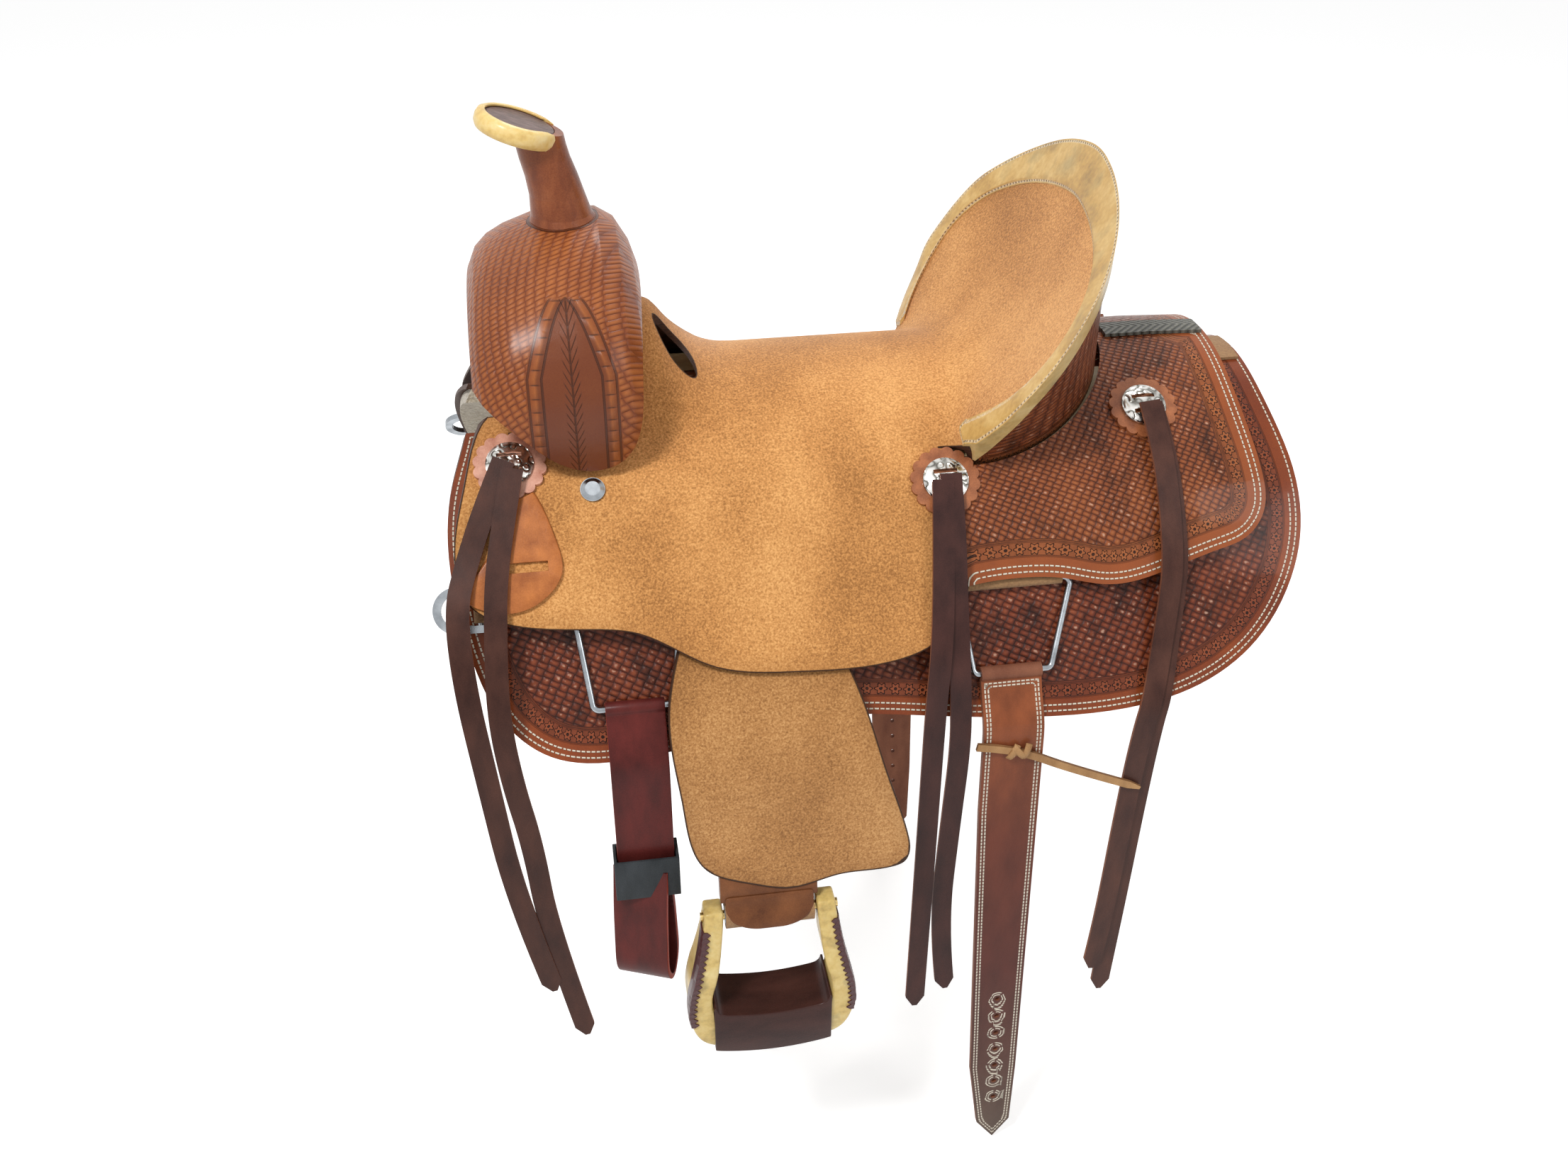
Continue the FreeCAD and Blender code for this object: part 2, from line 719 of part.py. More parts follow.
def inside_binding():
    """Prism inside the binding's inner edge, open across the seat in front."""
    edge = [inset_plan(RIM_PLAN, at, size("binding_width")) for at in spread(0.0, 1.0, 15)]
    near_half = [Vector(x, -y, -BIG) for x, y in edge[:0:-1]]
    off_half = [Vector(x, y, -BIG) for x, y in edge[1:]]
    ends = [Vector(0, off_half[-1].y, -BIG), Vector(0, near_half[0].y, -BIG)]
    loop = spline_loop(near_half + [Vector(edge[0][0], 0, -BIG)] + off_half, ends)
    return Part.Face(loop).extrude(Vector(0, 0, 2 * BIG))


def build_cantle_binding():
    outside = cantle_column(-0.4 - size("binding_thick"))
    over = seat_region(GAP, GAP + size("binding_thick")).common(outside).cut(inside_binding())
    round_back = seat_region(-13.0, 2.0)
    round_back = round_back.common(outside).cut(cantle_column(-0.4))
    binding = over.fuse(round_back)
    binding = binding.common(Part.makeBox(200, 800, 500, Vector(70, -400, -100)))
    for well in rosette_wells():
        binding = binding.cut(well)
    publish("cantle_binding", largest(binding))


def build_rear_jockeys():
    thick = size("jockey_thick")
    xs, stations = spread(60.0, 336.0, 34), spread(-180.0, -0.6, 30)
    jockey = skin_solid((jockey_point, -thick), (jockey_point, 0.0), xs, stations)
    jockey = jockey.common(side_prism(JOCKEY_OUTLINE, [(66, 60)]))
    jockey = jockey.cut(cantle_column(-0.8 - size("binding_thick")))
    seat_edge = side_prism([(x + 2.0, z) for x, z in SEAT_OUTLINE[10:]], [(67, 60), (-3, 60)])
    publish_pair("rear_jockey_near", largest(jockey.cut(seat_edge)))
    xs, stations = spread(226.5, 316.0, 12), spread(-9.0, 9.0, 7)
    lacing = skin_solid((jockey_point, GAP), (jockey_point, 3.3), xs, stations)
    publish("spine_lacing", lacing)


def scalloped_prism(x, station, radius, lobes):
    """Prism square on the back, with a scalloped edge."""
    edges = []
    for k in range(lobes):
        points = []
        for at, reach in ((0.0, 0.9 * radius), (0.5, radius), (1.0, 0.9 * radius)):
            angle = 2 * math.pi * (k + at) / lobes
            points.append(Vector(reach * math.cos(angle), reach * math.sin(angle), -20))
        edges.append(Part.Arc(*points).toShape())
    prism = Part.Face(Part.Wire(edges)).extrude(Vector(0, 0, 40))
    prism.Placement = flat_frame(x, station, TOP)
    return prism


def build_rosettes():
    radius = size("rosette_radius")
    patches = []
    conchos = []
    for x, station in ROSETTE_PLACES:
        leather = band(TOP + 0.3, TOP + 3.3, -station - 40, -station + 40, x - 40, x + 40)
        patches.append(leather.common(scalloped_prism(x, -station, radius, 16)))
        conchos.append(concho(x, station))
    publish("rosettes", both_sides(Part.makeCompound(patches)))
    publish("conchos", both_sides(Part.makeCompound(conchos)))
    screw = disc(-234.0, -96.0, TOP + 0.3, TOP + 2.0, size("screw_radius"))
    head = disc(-234.0, -96.0, TOP + 2.0, TOP + 4.6, size("screw_radius") - 0.5, 6.0)
    publish("seat_screws", both_sides(screw.fuse(head).removeSplitter()))


def concho(x, station):
    """Domed disc with the two slots that the strings pass through."""
    radius = size("concho_radius")
    dome = disc(x, -station, TOP + 3.7, TOP + 5.5, radius)
    dome = dome.fuse(disc(x, -station, TOP + 5.5, TOP + 8.7, radius - 1.5, 8.0)).removeSplitter()
    frame = flat_frame(x, -station, TOP)
    for shift in (-7.0, 7.0):
        slot = Part.makeBox(20, 3.6, 30, Vector(-10, shift - 1.8, -5))
        slot.Placement = frame
        dome = dome.cut(slot)
    return dome


# ---------------------------------------------------------------- rods, straps and cords

def arc_path(points, radius_at):
    """Edges through the points in order, with a tangent arc at each inner corner.

    radius_at(shorter run, half turn) gives the arc's radius.
    """
    edges = []
    start = points[0]
    for before, corner, after in zip(points, points[1:], points[2:]):
        back = before - corner
        ahead = after - corner
        shorter = min(back.Length, ahead.Length)
        back.normalize()
        ahead.normalize()
        half_turn = (math.pi - back.getAngle(ahead)) / 2.0
        radius = radius_at(shorter, half_turn)
        reach = radius * math.tan(half_turn)
        first = corner + back * reach
        last = corner + ahead * reach
        inward = (back + ahead).normalize()
        middle = corner + inward * (radius / math.cos(half_turn) - radius)
        edges.append(Part.LineSegment(start, first).toShape())
        edges.append(Part.Arc(first, middle, last).toShape())
        start = last
    edges.append(Part.LineSegment(start, points[-1]).toShape())
    return edges


def rounded_loop(corners, radius):
    """Closed wire through the corners, begun half way along the last side."""
    start = (corners[-1] + corners[0]) * 0.5
    return Part.Wire(arc_path([start] + corners + [start], lambda run, half_turn: radius))


def rod(path, radius):
    """Round bar swept along a closed or open wire."""
    first = path.OrderedEdges[0]
    tangent = first.tangentAt(first.FirstParameter)
    ring = Part.Wire([Part.makeCircle(radius, first.valueAt(first.FirstParameter), tangent)])
    return path.makePipeShell([ring], True, False)


def strap_section(points, thick, x_from, x_to):
    """Strap of even thickness across the saddle, along a smooth centre line of (y, z) points."""
    centre = spline([Vector(x_from, y, z) for y, z in points])
    sides = ([], [])
    first, last = centre.ParameterRange
    for at in spread(first, last, 8 * len(points)):
        point = centre.valueAt(at)
        tangent = centre.tangentAt(at)
        normal = Vector(0, -tangent.z, tangent.y)
        sides[0].append(point + normal * (thick / 2.0))
        sides[1].append(point - normal * (thick / 2.0))
    edges = [spline(sides[0]), Part.LineSegment(sides[0][-1], sides[1][-1]).toShape(),
             spline(sides[1][::-1]), Part.LineSegment(sides[1][0], sides[0][0]).toShape()]
    wire = Part.Wire(edges)
    return Part.Face(wire).extrude(Vector(x_to - x_from, 0, 0))


def cord(points, wide, thick, across):
    """Flat string through the points: straight runs joined by tangent arcs."""
    path = Part.Wire(arc_path(points, lambda run, half_turn: 0.45 * run / math.tan(half_turn)))
    tangent = (points[1] - points[0]).normalize()
    side = (across - tangent * across.dot(tangent)).normalize() * (wide / 2.0)
    normal = tangent.cross(side).normalize() * (thick / 2.0)
    ring = [points[0] + side + normal, points[0] + side - normal,
            points[0] - side - normal, points[0] - side + normal]
    sweep = Part.BRepOffsetAPI.MakePipeShell(path)
    sweep.setBiNormalMode(across)
    sweep.add(Part.makePolygon(ring + ring[:1]))
    sweep.build()
    sweep.makeSolid()
    solid = sweep.shape()
    radii = [edge.Curve.Radius for edge in path.Edges if edge.Curve.TypeId == "Part::GeomCircle"]
    print("cord: length %.0f, radii %s, volume %.3f of section x length"
          % (path.Length, " ".join("%.0f" % r for r in radii), solid.Volume / (path.Length * wide * thick)))
    return solid


# ---------------------------------------------------------------- rigging, dees and straps

DEE_LEAN = math.radians(size("dee_lean"))
DEE_DOWN = Vector(0, -math.cos(DEE_LEAN), -math.sin(DEE_LEAN))
DEE_Y, DEE_Z = layer_yz(-size("dee_station"), size("dee_lift"))
BAR_RADIUS = size("dee_steel") / 2.0


def dee(x, left, right):
    """Steel dee hanging from its straight top bar."""
    top = Vector(x, DEE_Y, DEE_Z)
    drop = DEE_DOWN * size("dee_height")
    half = size("dee_bottom_half")
    corners = [top + Vector(right, 0, 0), top + drop + Vector(half, 0, 0),
               top + drop - Vector(half, 0, 0), top - Vector(left, 0, 0)]
    return rod(rounded_loop(corners, size("dee_corner")), BAR_RADIUS)


def dee_bottom():
    drop = size("dee_height")
    return DEE_Y + DEE_DOWN.y * drop, DEE_Z + DEE_DOWN.z * drop


def bar_tube(x_from, x_to, y, z, radius):
    """Round bar along the saddle."""
    return Part.makeCylinder(radius, x_to - x_from, Vector(x_from, y, z), Vector(1, 0, 0))


def rigging(x_from, x_to):
    """Strap folded round the dee's top bar, lying on the skirt from the tree's bar down."""
    station = size("dee_station")
    folded = band(SKIRT_TOP + GAP, SKIRT_TOP + 11.4, -station, -123.2, x_from, x_to)
    nose = bar_tube(x_from, x_to, DEE_Y, DEE_Z, 5.5)
    hole = bar_tube(x_from - 5, x_to + 5, DEE_Y, DEE_Z, BAR_RADIUS + 0.3)
    return folded.fuse(nose).removeSplitter().cut(hole)


def hanging_strap(x_from, x_to, thick, lift, end_z):
    """Strap round the dee's bottom bar, down over the skirt and then straight down."""
    y, z = dee_bottom()
    hang_y = layer_yz(-208, lift)[0] - 7.8
    points = [(y, z), layer_yz(-200, lift), layer_yz(-208, lift), (hang_y + 1.5, -208), (hang_y, -228),
              (hang_y, -260), (hang_y, (end_z - 260) / 2.0), (hang_y, end_z)]
    strap = strap_section(points, thick, x_from, x_to)
    strap = strap.fuse(bar_tube(x_from, x_to, y, z, BAR_RADIUS + 0.3 + 3.0)).removeSplitter()
    return strap.cut(bar_tube(x_from - 5, x_to + 5, y, z, BAR_RADIUS + 0.3)), hang_y


def build_rigging():
    front, rear = size("front_dee_x"), size("rear_dee_x")
    half, rear_half = size("dee_half"), size("rear_dee_half")
    publish("front_rigging", both_sides(rigging(front - half + 9, front + half - 9)))
    publish("rear_rigging", both_sides(rigging(rear - half + 9, rear + rear_half - 9)))
    publish_pair("front_dee_near", dee(front, half, half))
    publish_pair("rear_dee_near", dee(rear, half, rear_half))


def build_latigo():
    """Long latigo folded into a hank, and the keeper that holds the hank together."""
    x, half = size("front_dee_x"), size("latigo_half")
    strap, hang_y = hanging_strap(x - half, x + half, 9.0, 22.6, -346.0)
    loop = strap_section([(hang_y - 3, -318), (hang_y - 10, -360), (hang_y - 14, -405), (hang_y - 10, -436),
                          (hang_y, -444), (hang_y + 10, -436), (hang_y + 14, -405), (hang_y + 10, -360),
                          (hang_y + 3, -318)], 5.0, x - half, x + half)
    loop.rotate(Vector(x, hang_y, 0), Vector(0, 0, 1), -22)
    loop.translate(Vector(-4, 0, 0))
    keeper = Part.makeBox(2 * half + 7, 26.0, 42.0, Vector(x - half - 3.5, hang_y - 13.0, -344.0))
    room = Part.makeBox(2 * half + 2, 21.0, 60.0, Vector(x - half - 1, hang_y - 10.5, -350.0))
    latigo = strap.fuse(loop).removeSplitter()
    publish("latigo", latigo)
    publish("latigo_keeper", keeper.cut(room).cut(latigo))
    billet, _ = hanging_strap(x - half, x + half, 5.5, 20.6, -560.0)
    outline = side_prism([(x + half, -545), (x + half - 8, -554), (x, -560), (x - half + 8, -554),
                          (x - half, -545)], [(x - half, -100), (x + half, -100)])
    billet = mirrored(billet.common(outline))
    publish("off_billet", drilled(billet, x, x, [-330, -360, -390, -420, -450, -480, -510]))


def drilled(strap, x_top, x_low, levels):
    """Round buckle holes down a hanging strap."""
    for k, level in enumerate(levels):
        x = x_top + (x_low - x_top) * k / (len(levels) - 1.0)
        hole = Part.makeCylinder(size("billet_hole_radius"), 600, Vector(x, -300, level), Vector(0, 1, 0))
        strap = strap.cut(hole)
    return strap


def build_rear_billet():
    x, half, tip = size("rear_dee_x") - 2.0, size("billet_half"), size("billet_tip_half")
    end = size("billet_end_z")
    strap, hang_y = hanging_strap(x - 40, x + 70, 5.5, 20.6, end)
    outline = plan_outline([(x - half, -150), (x - half + 3, -300), (x + 15 - tip, -640),
                            (x + 21 - tip + 6, end + 25), (x + 23, end), (x + 25 + tip - 8, end + 25),
                            (x + 17 + tip, -640), (x + half + 4, -300), (x + half, -150)])
    strap = strap.common(outline)
    levels = [-540 - size("billet_hole_pitch") * k for k in range(7)]
    publish_pair("rear_billet_near", drilled(strap, x + 12.5, x + 19.5, levels))
    knot_x = x + 4
    face = hang_y - 2.75
    thong = cord([Vector(67.5, face - 2.2, -223), Vector(knot_x, face - 2.2, -229),
                  Vector(knot_x + 52, face - 2.6, -258), Vector(219, face - 1.9, -287)],
                 size("thong_width"), 3.0, Vector(0.25, 0, 1))
    knot = Part.makeBox(26, 6.0, 17, Vector(knot_x - 11, face - 6.5, -240))
    publish_pair("billet_thong_near", thong.fuse(knot).removeSplitter())


def plan_outline(points):
    """Straight-sided prism across the near side from a side view outline."""
    wire = Part.makePolygon([Vector(x, -400, z) for x, z in points + points[:1]])
    return Part.Face(wire).extrude(Vector(0, 400, 0))


# ---------------------------------------------------------------- breast collar dees and carriers

BREAST_STATION = -148.0
BREAST_BAR_X = -331.0
BREAST_LIFT = 22.6


def build_breast_dees():
    """Flat steel dees at the front edge of the skirts, for the breast collar."""
    frame = flat_frame(BREAST_BAR_X, BREAST_STATION, BREAST_LIFT)
    half, steel = 19.0, 5.0
    outer = Part.makeBox(14, 2 * half, steel, Vector(-14, -half, -steel / 2))
    outer = outer.fuse(Part.makeCylinder(half, steel, Vector(-14 - 4, 0, -steel / 2)))
    outer = outer.fuse(Part.makeBox(6, 2 * half, steel, Vector(-20, -half, -steel / 2))).removeSplitter()
    inner = Part.makeCylinder(half - 6.5, steel + 2, Vector(-18, 0, -steel / 2 - 1))
    inner = inner.fuse(Part.makeBox(13.5, 2 * half - 13, steel + 2, Vector(-18, -half + 6.5, -steel / 2 - 1)))
    ring = outer.cut(inner)
    bar = Part.makeCylinder(2.5, 2 * half, Vector(0, -half, 0), Vector(0, 1, 0))
    arms = Part.makeBox(14, 6, steel, Vector(-12, -half, -steel / 2))
    arms = arms.fuse(Part.makeBox(14, 6, steel, Vector(-12, half - 6, -steel / 2)))
    gap = Part.makeBox(8.5, 2 * half - 12, steel + 2, Vector(-6.5, -half + 6, -steel / 2 - 1))
    ring = ring.cut(gap).fuse(arms).fuse(bar).removeSplitter()
    ring.Placement = frame
    publish_pair("breast_dee_near", ring)
    tab = Part.makeBox(30, 22, 10.6, Vector(0, -11, -5.3))
    nose = Part.makeCylinder(5.3, 22, Vector(0, -11, 0), Vector(0, 1, 0))
    hole = Part.makeCylinder(2.8, 40, Vector(0, -20, 0), Vector(0, 1, 0))
    tab = tab.fuse(nose).removeSplitter().cut(hole)
    tab.Placement = frame
    publish("breast_collar_tabs", both_sides(tab))


CARRIER_OUTLINE = [(-290, -8), (-303, -20), (-319, -46), (-339, -73), (-322, -81), (-303, -83),
                   (-275, -73), (-263, -58), (-267, -38), (-276, -18)]


def build_carriers():
    """Leather keepers in front, each with a slot for the latigo's end."""
    x, station = ROSETTE_PLACES[0]
    leather = band(TOP + 0.3, TOP + 3.8, -160, -85, -350, -250)
    wire = closed_spline([Vector(px, -BIG, pz) for px, pz in CARRIER_OUTLINE])
    leather = leather.common(Part.Face(wire).extrude(Vector(0, BIG, 0)))
    leather = leather.cut(disc(x, -station, TOP - 20, TOP + 20, size("rosette_radius") + 0.4))
    slot = Part.makeBox(44, 8, 40, Vector(-22, -4, -20))
    slot.Placement = flat_frame(-296, -132, TOP)
    publish("latigo_carriers", both_sides(largest(leather.cut(slot))))


# ---------------------------------------------------------------- stirrup leathers and stirrups

BOLT_V = BEND_AT + BEND_LENGTH + size("bolt_drop")
LEATHER_MID = 3.55
BOLT = hang(0, BOLT_V, LEATHER_MID)
FENDER_OUTLINE = [(-151, -70), (-177, -122), (-189, -161), (-189, -195), (-184, -234), (-165, -302),
                  (-130, -318), (-95, -326), (-55, -318), (-8, -316), (2, -312), (6, -304),
                  (5, -287), (-14, -222), (-33, -158), (-53, -112), (-79, -70)]


def build_stirrup_leather():
    """Loop of two plies over the tree's lip, and round the stirrup's roller."""
    half = size("strap_half")
    outer = hang_strip([(0, 0.5), (0, 11.4), (62, 11.4), (82, 6.6), (BOLT_V, 6.6), (BOLT_V, 0.5)],
                       -half, half)
    inner = hang_strip([(3, 3.5), (3, 8.4), (61, 8.4), (78, 3.9), (78, 3.5)], -half - 5, half + 5)
    reach = size("roller_radius") + 0.35
    ring = bar_tube(STRAP_X - half, STRAP_X + half, BOLT.y, BOLT.z, reach + 3.65)
    hole = bar_tube(STRAP_X - half - 5, STRAP_X + half + 5, BOLT.y, BOLT.z, reach)
    publish_pair("stirrup_leather_near", outer.cut(inner).fuse(ring).removeSplitter().cut(hole))


def fender_prism(grow=0.0):
    centre = Vector(STRAP_X, 0, -200)
    points = [Vector(x, -BIG, z) for x, z in FENDER_OUTLINE]
    grown = []
    for point in points:
        away = Vector(point.x - centre.x, 0, point.z - centre.z).normalize()
        grown.append(point + away * grow)
    return Part.Face(closed_spline(grown)).extrude(Vector(0, BIG, 0))


def build_fender():
    low, high = FENDER_LOW, FENDER_LOW + size("fender_thick")
    leather = hang_strip([(84, low), (84, high), (385, high), (385, low)], -120, 140)
    publish_pair("fender_near", largest(leather.common(fender_prism())))


def build_hobble():
    """Leather band round both plies, just above the stirrup."""
    top = BOLT_V - 50.0
    bottom = BOLT_V - 15.5
    half = size("strap_half") + 0.4
    ring = hang_strip([(top, -3.0), (top, 10.2), (bottom, 10.2), (bottom, -3.0)], -half - 3, half + 3)
    room = hang_strip([(top - 5, 0.1), (top - 5, 7.0), (bottom + 5, 7.0), (bottom + 5, 0.1)], -half, half)
    over = hang_strip([(top - 5, 6.7), (top - 5, 13), (385, 13), (385, 6.7)], -120, 140)
    publish_pair("hobble_strap_near", largest(ring.cut(room).cut(over.common(fender_prism(0.5)))))


STIRRUP_OUTER = [(56, -11), (57, 0), (60, 22), (66, 52), (73, 88), (71, 114), (60, 134), (40, 141)]
STIRRUP_INNER = [(40, -11), (40.5, 0), (43, 25), (48, 58), (53, 84), (50, 96), (38, 101)]


def stirrup_solid(grow):
    """The stirrup's bow, moved outwards all round by a small growth."""
    depth = size("stirrup_depth") + 2 * grow
    front = BOLT.y - depth / 2.0
    loops = []
    for outline, side in ((STIRRUP_OUTER, grow), (STIRRUP_INNER, -grow)):
        half = grown_points(outline, side)
        whole = half + [(-x, z) for x, z in half[::-1]]
        loops.append([Vector(STRAP_X + x, front, BOLT.z - z) for x, z in whole])
    outer, inner = loops
    edges = [spline(outer), Part.LineSegment(outer[-1], inner[-1]).toShape(),
             spline(inner[::-1]), Part.LineSegment(inner[0], outer[0]).toShape()]
    bow = Part.Face(Part.Wire(edges)).extrude(Vector(0, depth, 0))
    half = depth / 2.0
    taper = Part.makePolygon([Vector(STRAP_X - 100, BOLT.y + y, BOLT.z + z) for y, z in
                              [(-10 - grow, 12 + grow), (10 + grow, 12 + grow), (half, -62),
                               (half, -150), (-half, -150), (-half, -62), (-10 - grow, 12 + grow)]])
    return bow.common(Part.Face(taper).extrude(Vector(200, 0, 0)))


def build_stirrup():
    bolt_hole = bar_tube(STRAP_X - 90, STRAP_X + 90, BOLT.y, BOLT.z, size("bolt_radius") + 0.3)
    publish_pair("stirrup_frame_near", stirrup_solid(0.0).cut(bolt_hole))
    wrap = stirrup_solid(3.0).cut(stirrup_solid(0.25))
    middle = Part.makeBox(104, 80, 60, Vector(STRAP_X - 52, BOLT.y - 40, BOLT.z - 148))
    publish_pair("stirrup_tread_near", largest(wrap.common(middle)))


def sheet_object(kind, label, values):
    """Part primitive whose sizes are bound to the sheet."""
    obj = doc.addObject(kind, label)
    obj.Label = label
    for name, expression in values.items():
        obj.setExpression(name, expression)
    return obj


def build_bolt():
    """Stirrup bolt and the roller that turns on it, both bound to the sheet."""
    turn = FreeCAD.Rotation(Y_AXIS, 90)
    bolt = sheet_object("Part::Cylinder", "stirrup_bolt_near",
                        {"Radius": "Sizes.bolt_radius * 1 mm", "Height": "118 mm"})
    bolt.Placement = FreeCAD.Placement(Vector(STRAP_X - 59, BOLT.y, BOLT.z), turn)
    nodes.append(bolt)
    publish_off(bolt)
    sleeve = sheet_object("Part::Cylinder", "RollerBlank",
                          {"Radius": "Sizes.roller_radius * 1 mm", "Height": "2 mm * (Sizes.strap_half + 0.5)"})
    bore = sheet_object("Part::Cylinder", "RollerBore",
                        {"Radius": "(Sizes.bolt_radius + 0.3) * 1 mm",
                         "Height": "2 mm * (Sizes.strap_half + 0.5)"})
    half = size("strap_half") + 0.5
    for part in (sleeve, bore):
        part.Placement = FreeCAD.Placement(Vector(STRAP_X - half, BOLT.y, BOLT.z), turn)
    roller = doc.addObject("Part::Cut", "stirrup_roller_near")
    roller.Label = "stirrup_roller_near"
    roller.Base = sleeve
    roller.Tool = bore
    nodes.append(roller)
    publish_off(roller)


def build_buckle():
    """Two-post plate that joins the stirrup leather's ends, as a PartDesign body."""
    body = doc.addObject("PartDesign::Body", "leather_buckle_near")
    body.Label = "leather_buckle_near"
    plane = [f for f in body.Origin.OriginFeatures if f.Role == "XY_Plane"][0]
    sketch = body.newObject("Sketcher::SketchObject", "BuckleSketch")
    sketch.AttachmentSupport = [(plane, "")]
    sketch.MapMode = "FlatFace"
    wide, tall = 27.0, 15.0
    corners = [(-wide, -tall), (wide, -tall), (wide, tall), (-wide, tall)]
    for a, b in zip(corners, corners[1:] + corners[:1]):
        sketch.addGeometry(Part.LineSegment(Vector(a[0], a[1], 0), Vector(b[0], b[1], 0)))
    for hole_x in (-15.0, 15.0):
        sketch.addGeometry(Part.Circle(Vector(hole_x, 0, 0), Vector(0, 0, 1), 4.0))
    pad = body.newObject("PartDesign::Pad", "BucklePad")
    pad.Profile = sketch
    pad.setExpression("Length", "Sizes.leather_ply * 0.7 mm")
    middle = hang(0, BOLT_V - 78.0, -2.0)
    out = (hang(0, BOLT_V - 78.0, 1.0) - hang(0, BOLT_V - 78.0, 0.0))
    down = (hang(0, BOLT_V - 77.0, 0.0) - hang(0, BOLT_V - 78.0, 0.0))
    side = (down * -1).cross(out)
    up = down * -1
    body.Placement = FreeCAD.Placement(FreeCAD.Matrix(side.x, up.x, out.x, middle.x,
                                                      side.y, up.y, out.y, middle.y,
                                                      side.z, up.z, out.z, middle.z, 0, 0, 0, 1))
    nodes.append(body)
    publish_off(body)


# ---------------------------------------------------------------- saddle strings

def on_back(x, station, lift):
    return layer_point(x, -station, lift)


ACROSS = Vector(1, 0, 0)
STRINGS = {
    "saddle_strings_front": [
        [on_back(-302, 79, 52.0), on_back(-320, 103, 47.4), on_back(-338, 130, 44.2),
         Vector(-348, -191, -74), Vector(-346, -222, -125), Vector(-338, -234, -205),
         Vector(-327, -232, -348), Vector(-304, -230, -463)],
        [on_back(-296, 84, 52.0), on_back(-305, 108, 48.4), on_back(-315, 136, 47.0),
         Vector(-319, -199, -92), Vector(-323, -227, -150), Vector(-318, -234, -215),
         Vector(-308, -231, -287), Vector(-303, -229, -389), Vector(-279, -230, -525)]],
    "saddle_strings_mid": [
        [on_back(50, 107, 51.9), on_back(46, 134, 47.2), on_back(40, 163, 49.2),
         Vector(36, -222.5, -133), Vector(33, -228, -178), Vector(32, -230, -228),
         Vector(32, -229, -359), Vector(31, -229, -542)],
        [on_back(57, 104, 51.9), on_back(56, 131, 47.8), on_back(52, 160, 47.6),
         Vector(52, -219, -136), Vector(54, -226, -178), Vector(56, -230, -226),
         Vector(53, -228, -315), Vector(49, -228, -440), Vector(60, -229, -523)]],
    "saddle_strings_rear": [
        [on_back(236, 73, 55.5), on_back(240, 99, 52.0), on_back(241, 130, 46.2),
         on_back(240, 155, 41.6), on_back(238, 169, 32.1), on_back(232, 188, 24.8),
         Vector(221, -232.6, -196), Vector(215, -235.6, -225), Vector(211, -234.6, -305),
         Vector(207, -233.6, -461), Vector(202, -233.6, -515)],
        [on_back(239, 73, 51.9), on_back(244, 99, 48.4), on_back(246, 130, 42.6),
         on_back(246, 155, 38.0), on_back(244, 169, 28.5), on_back(239, 188, 21.2),
         Vector(230, -229, -196), Vector(225, -232, -225), Vector(222, -231, -305),
         Vector(219, -230, -440), Vector(215, -230, -549)]],
}


def build_strings():
    for label, pair in STRINGS.items():
        print(label)
        strings = [cord(points, size("string_width"), size("string_thick"), ACROSS) for points in pair]
        publish(label, both_sides(Part.makeCompound(strings)))


for build in (build_skirts, build_tree_bars, build_fork_and_horn, build_ground_seat, build_seat,
              build_cantle, build_cantle_binding, build_rear_jockeys, build_rosettes, build_rigging,
              build_latigo, build_rear_billet, build_breast_dees, build_carriers, build_stirrup_leather,
              build_fender, build_hobble, build_stirrup, build_bolt, build_buckle, build_strings):
    build()

doc.recompute()
os.makedirs("parts", exist_ok=True)
for node in nodes:
    shape = node.Shape
    if "Invalid" in node.State or "Error" in node.State or shape.isNull() or not shape.isValid():
        raise RuntimeError("%s did not build: %s" % (node.Label, node.State))
    shape.exportStep("parts/%s.step" % node.Label)
print("%d sub-parts" % len(nodes))
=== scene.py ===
import json
import math
import bmesh
import bpy
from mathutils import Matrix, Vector, bvhtree, kdtree

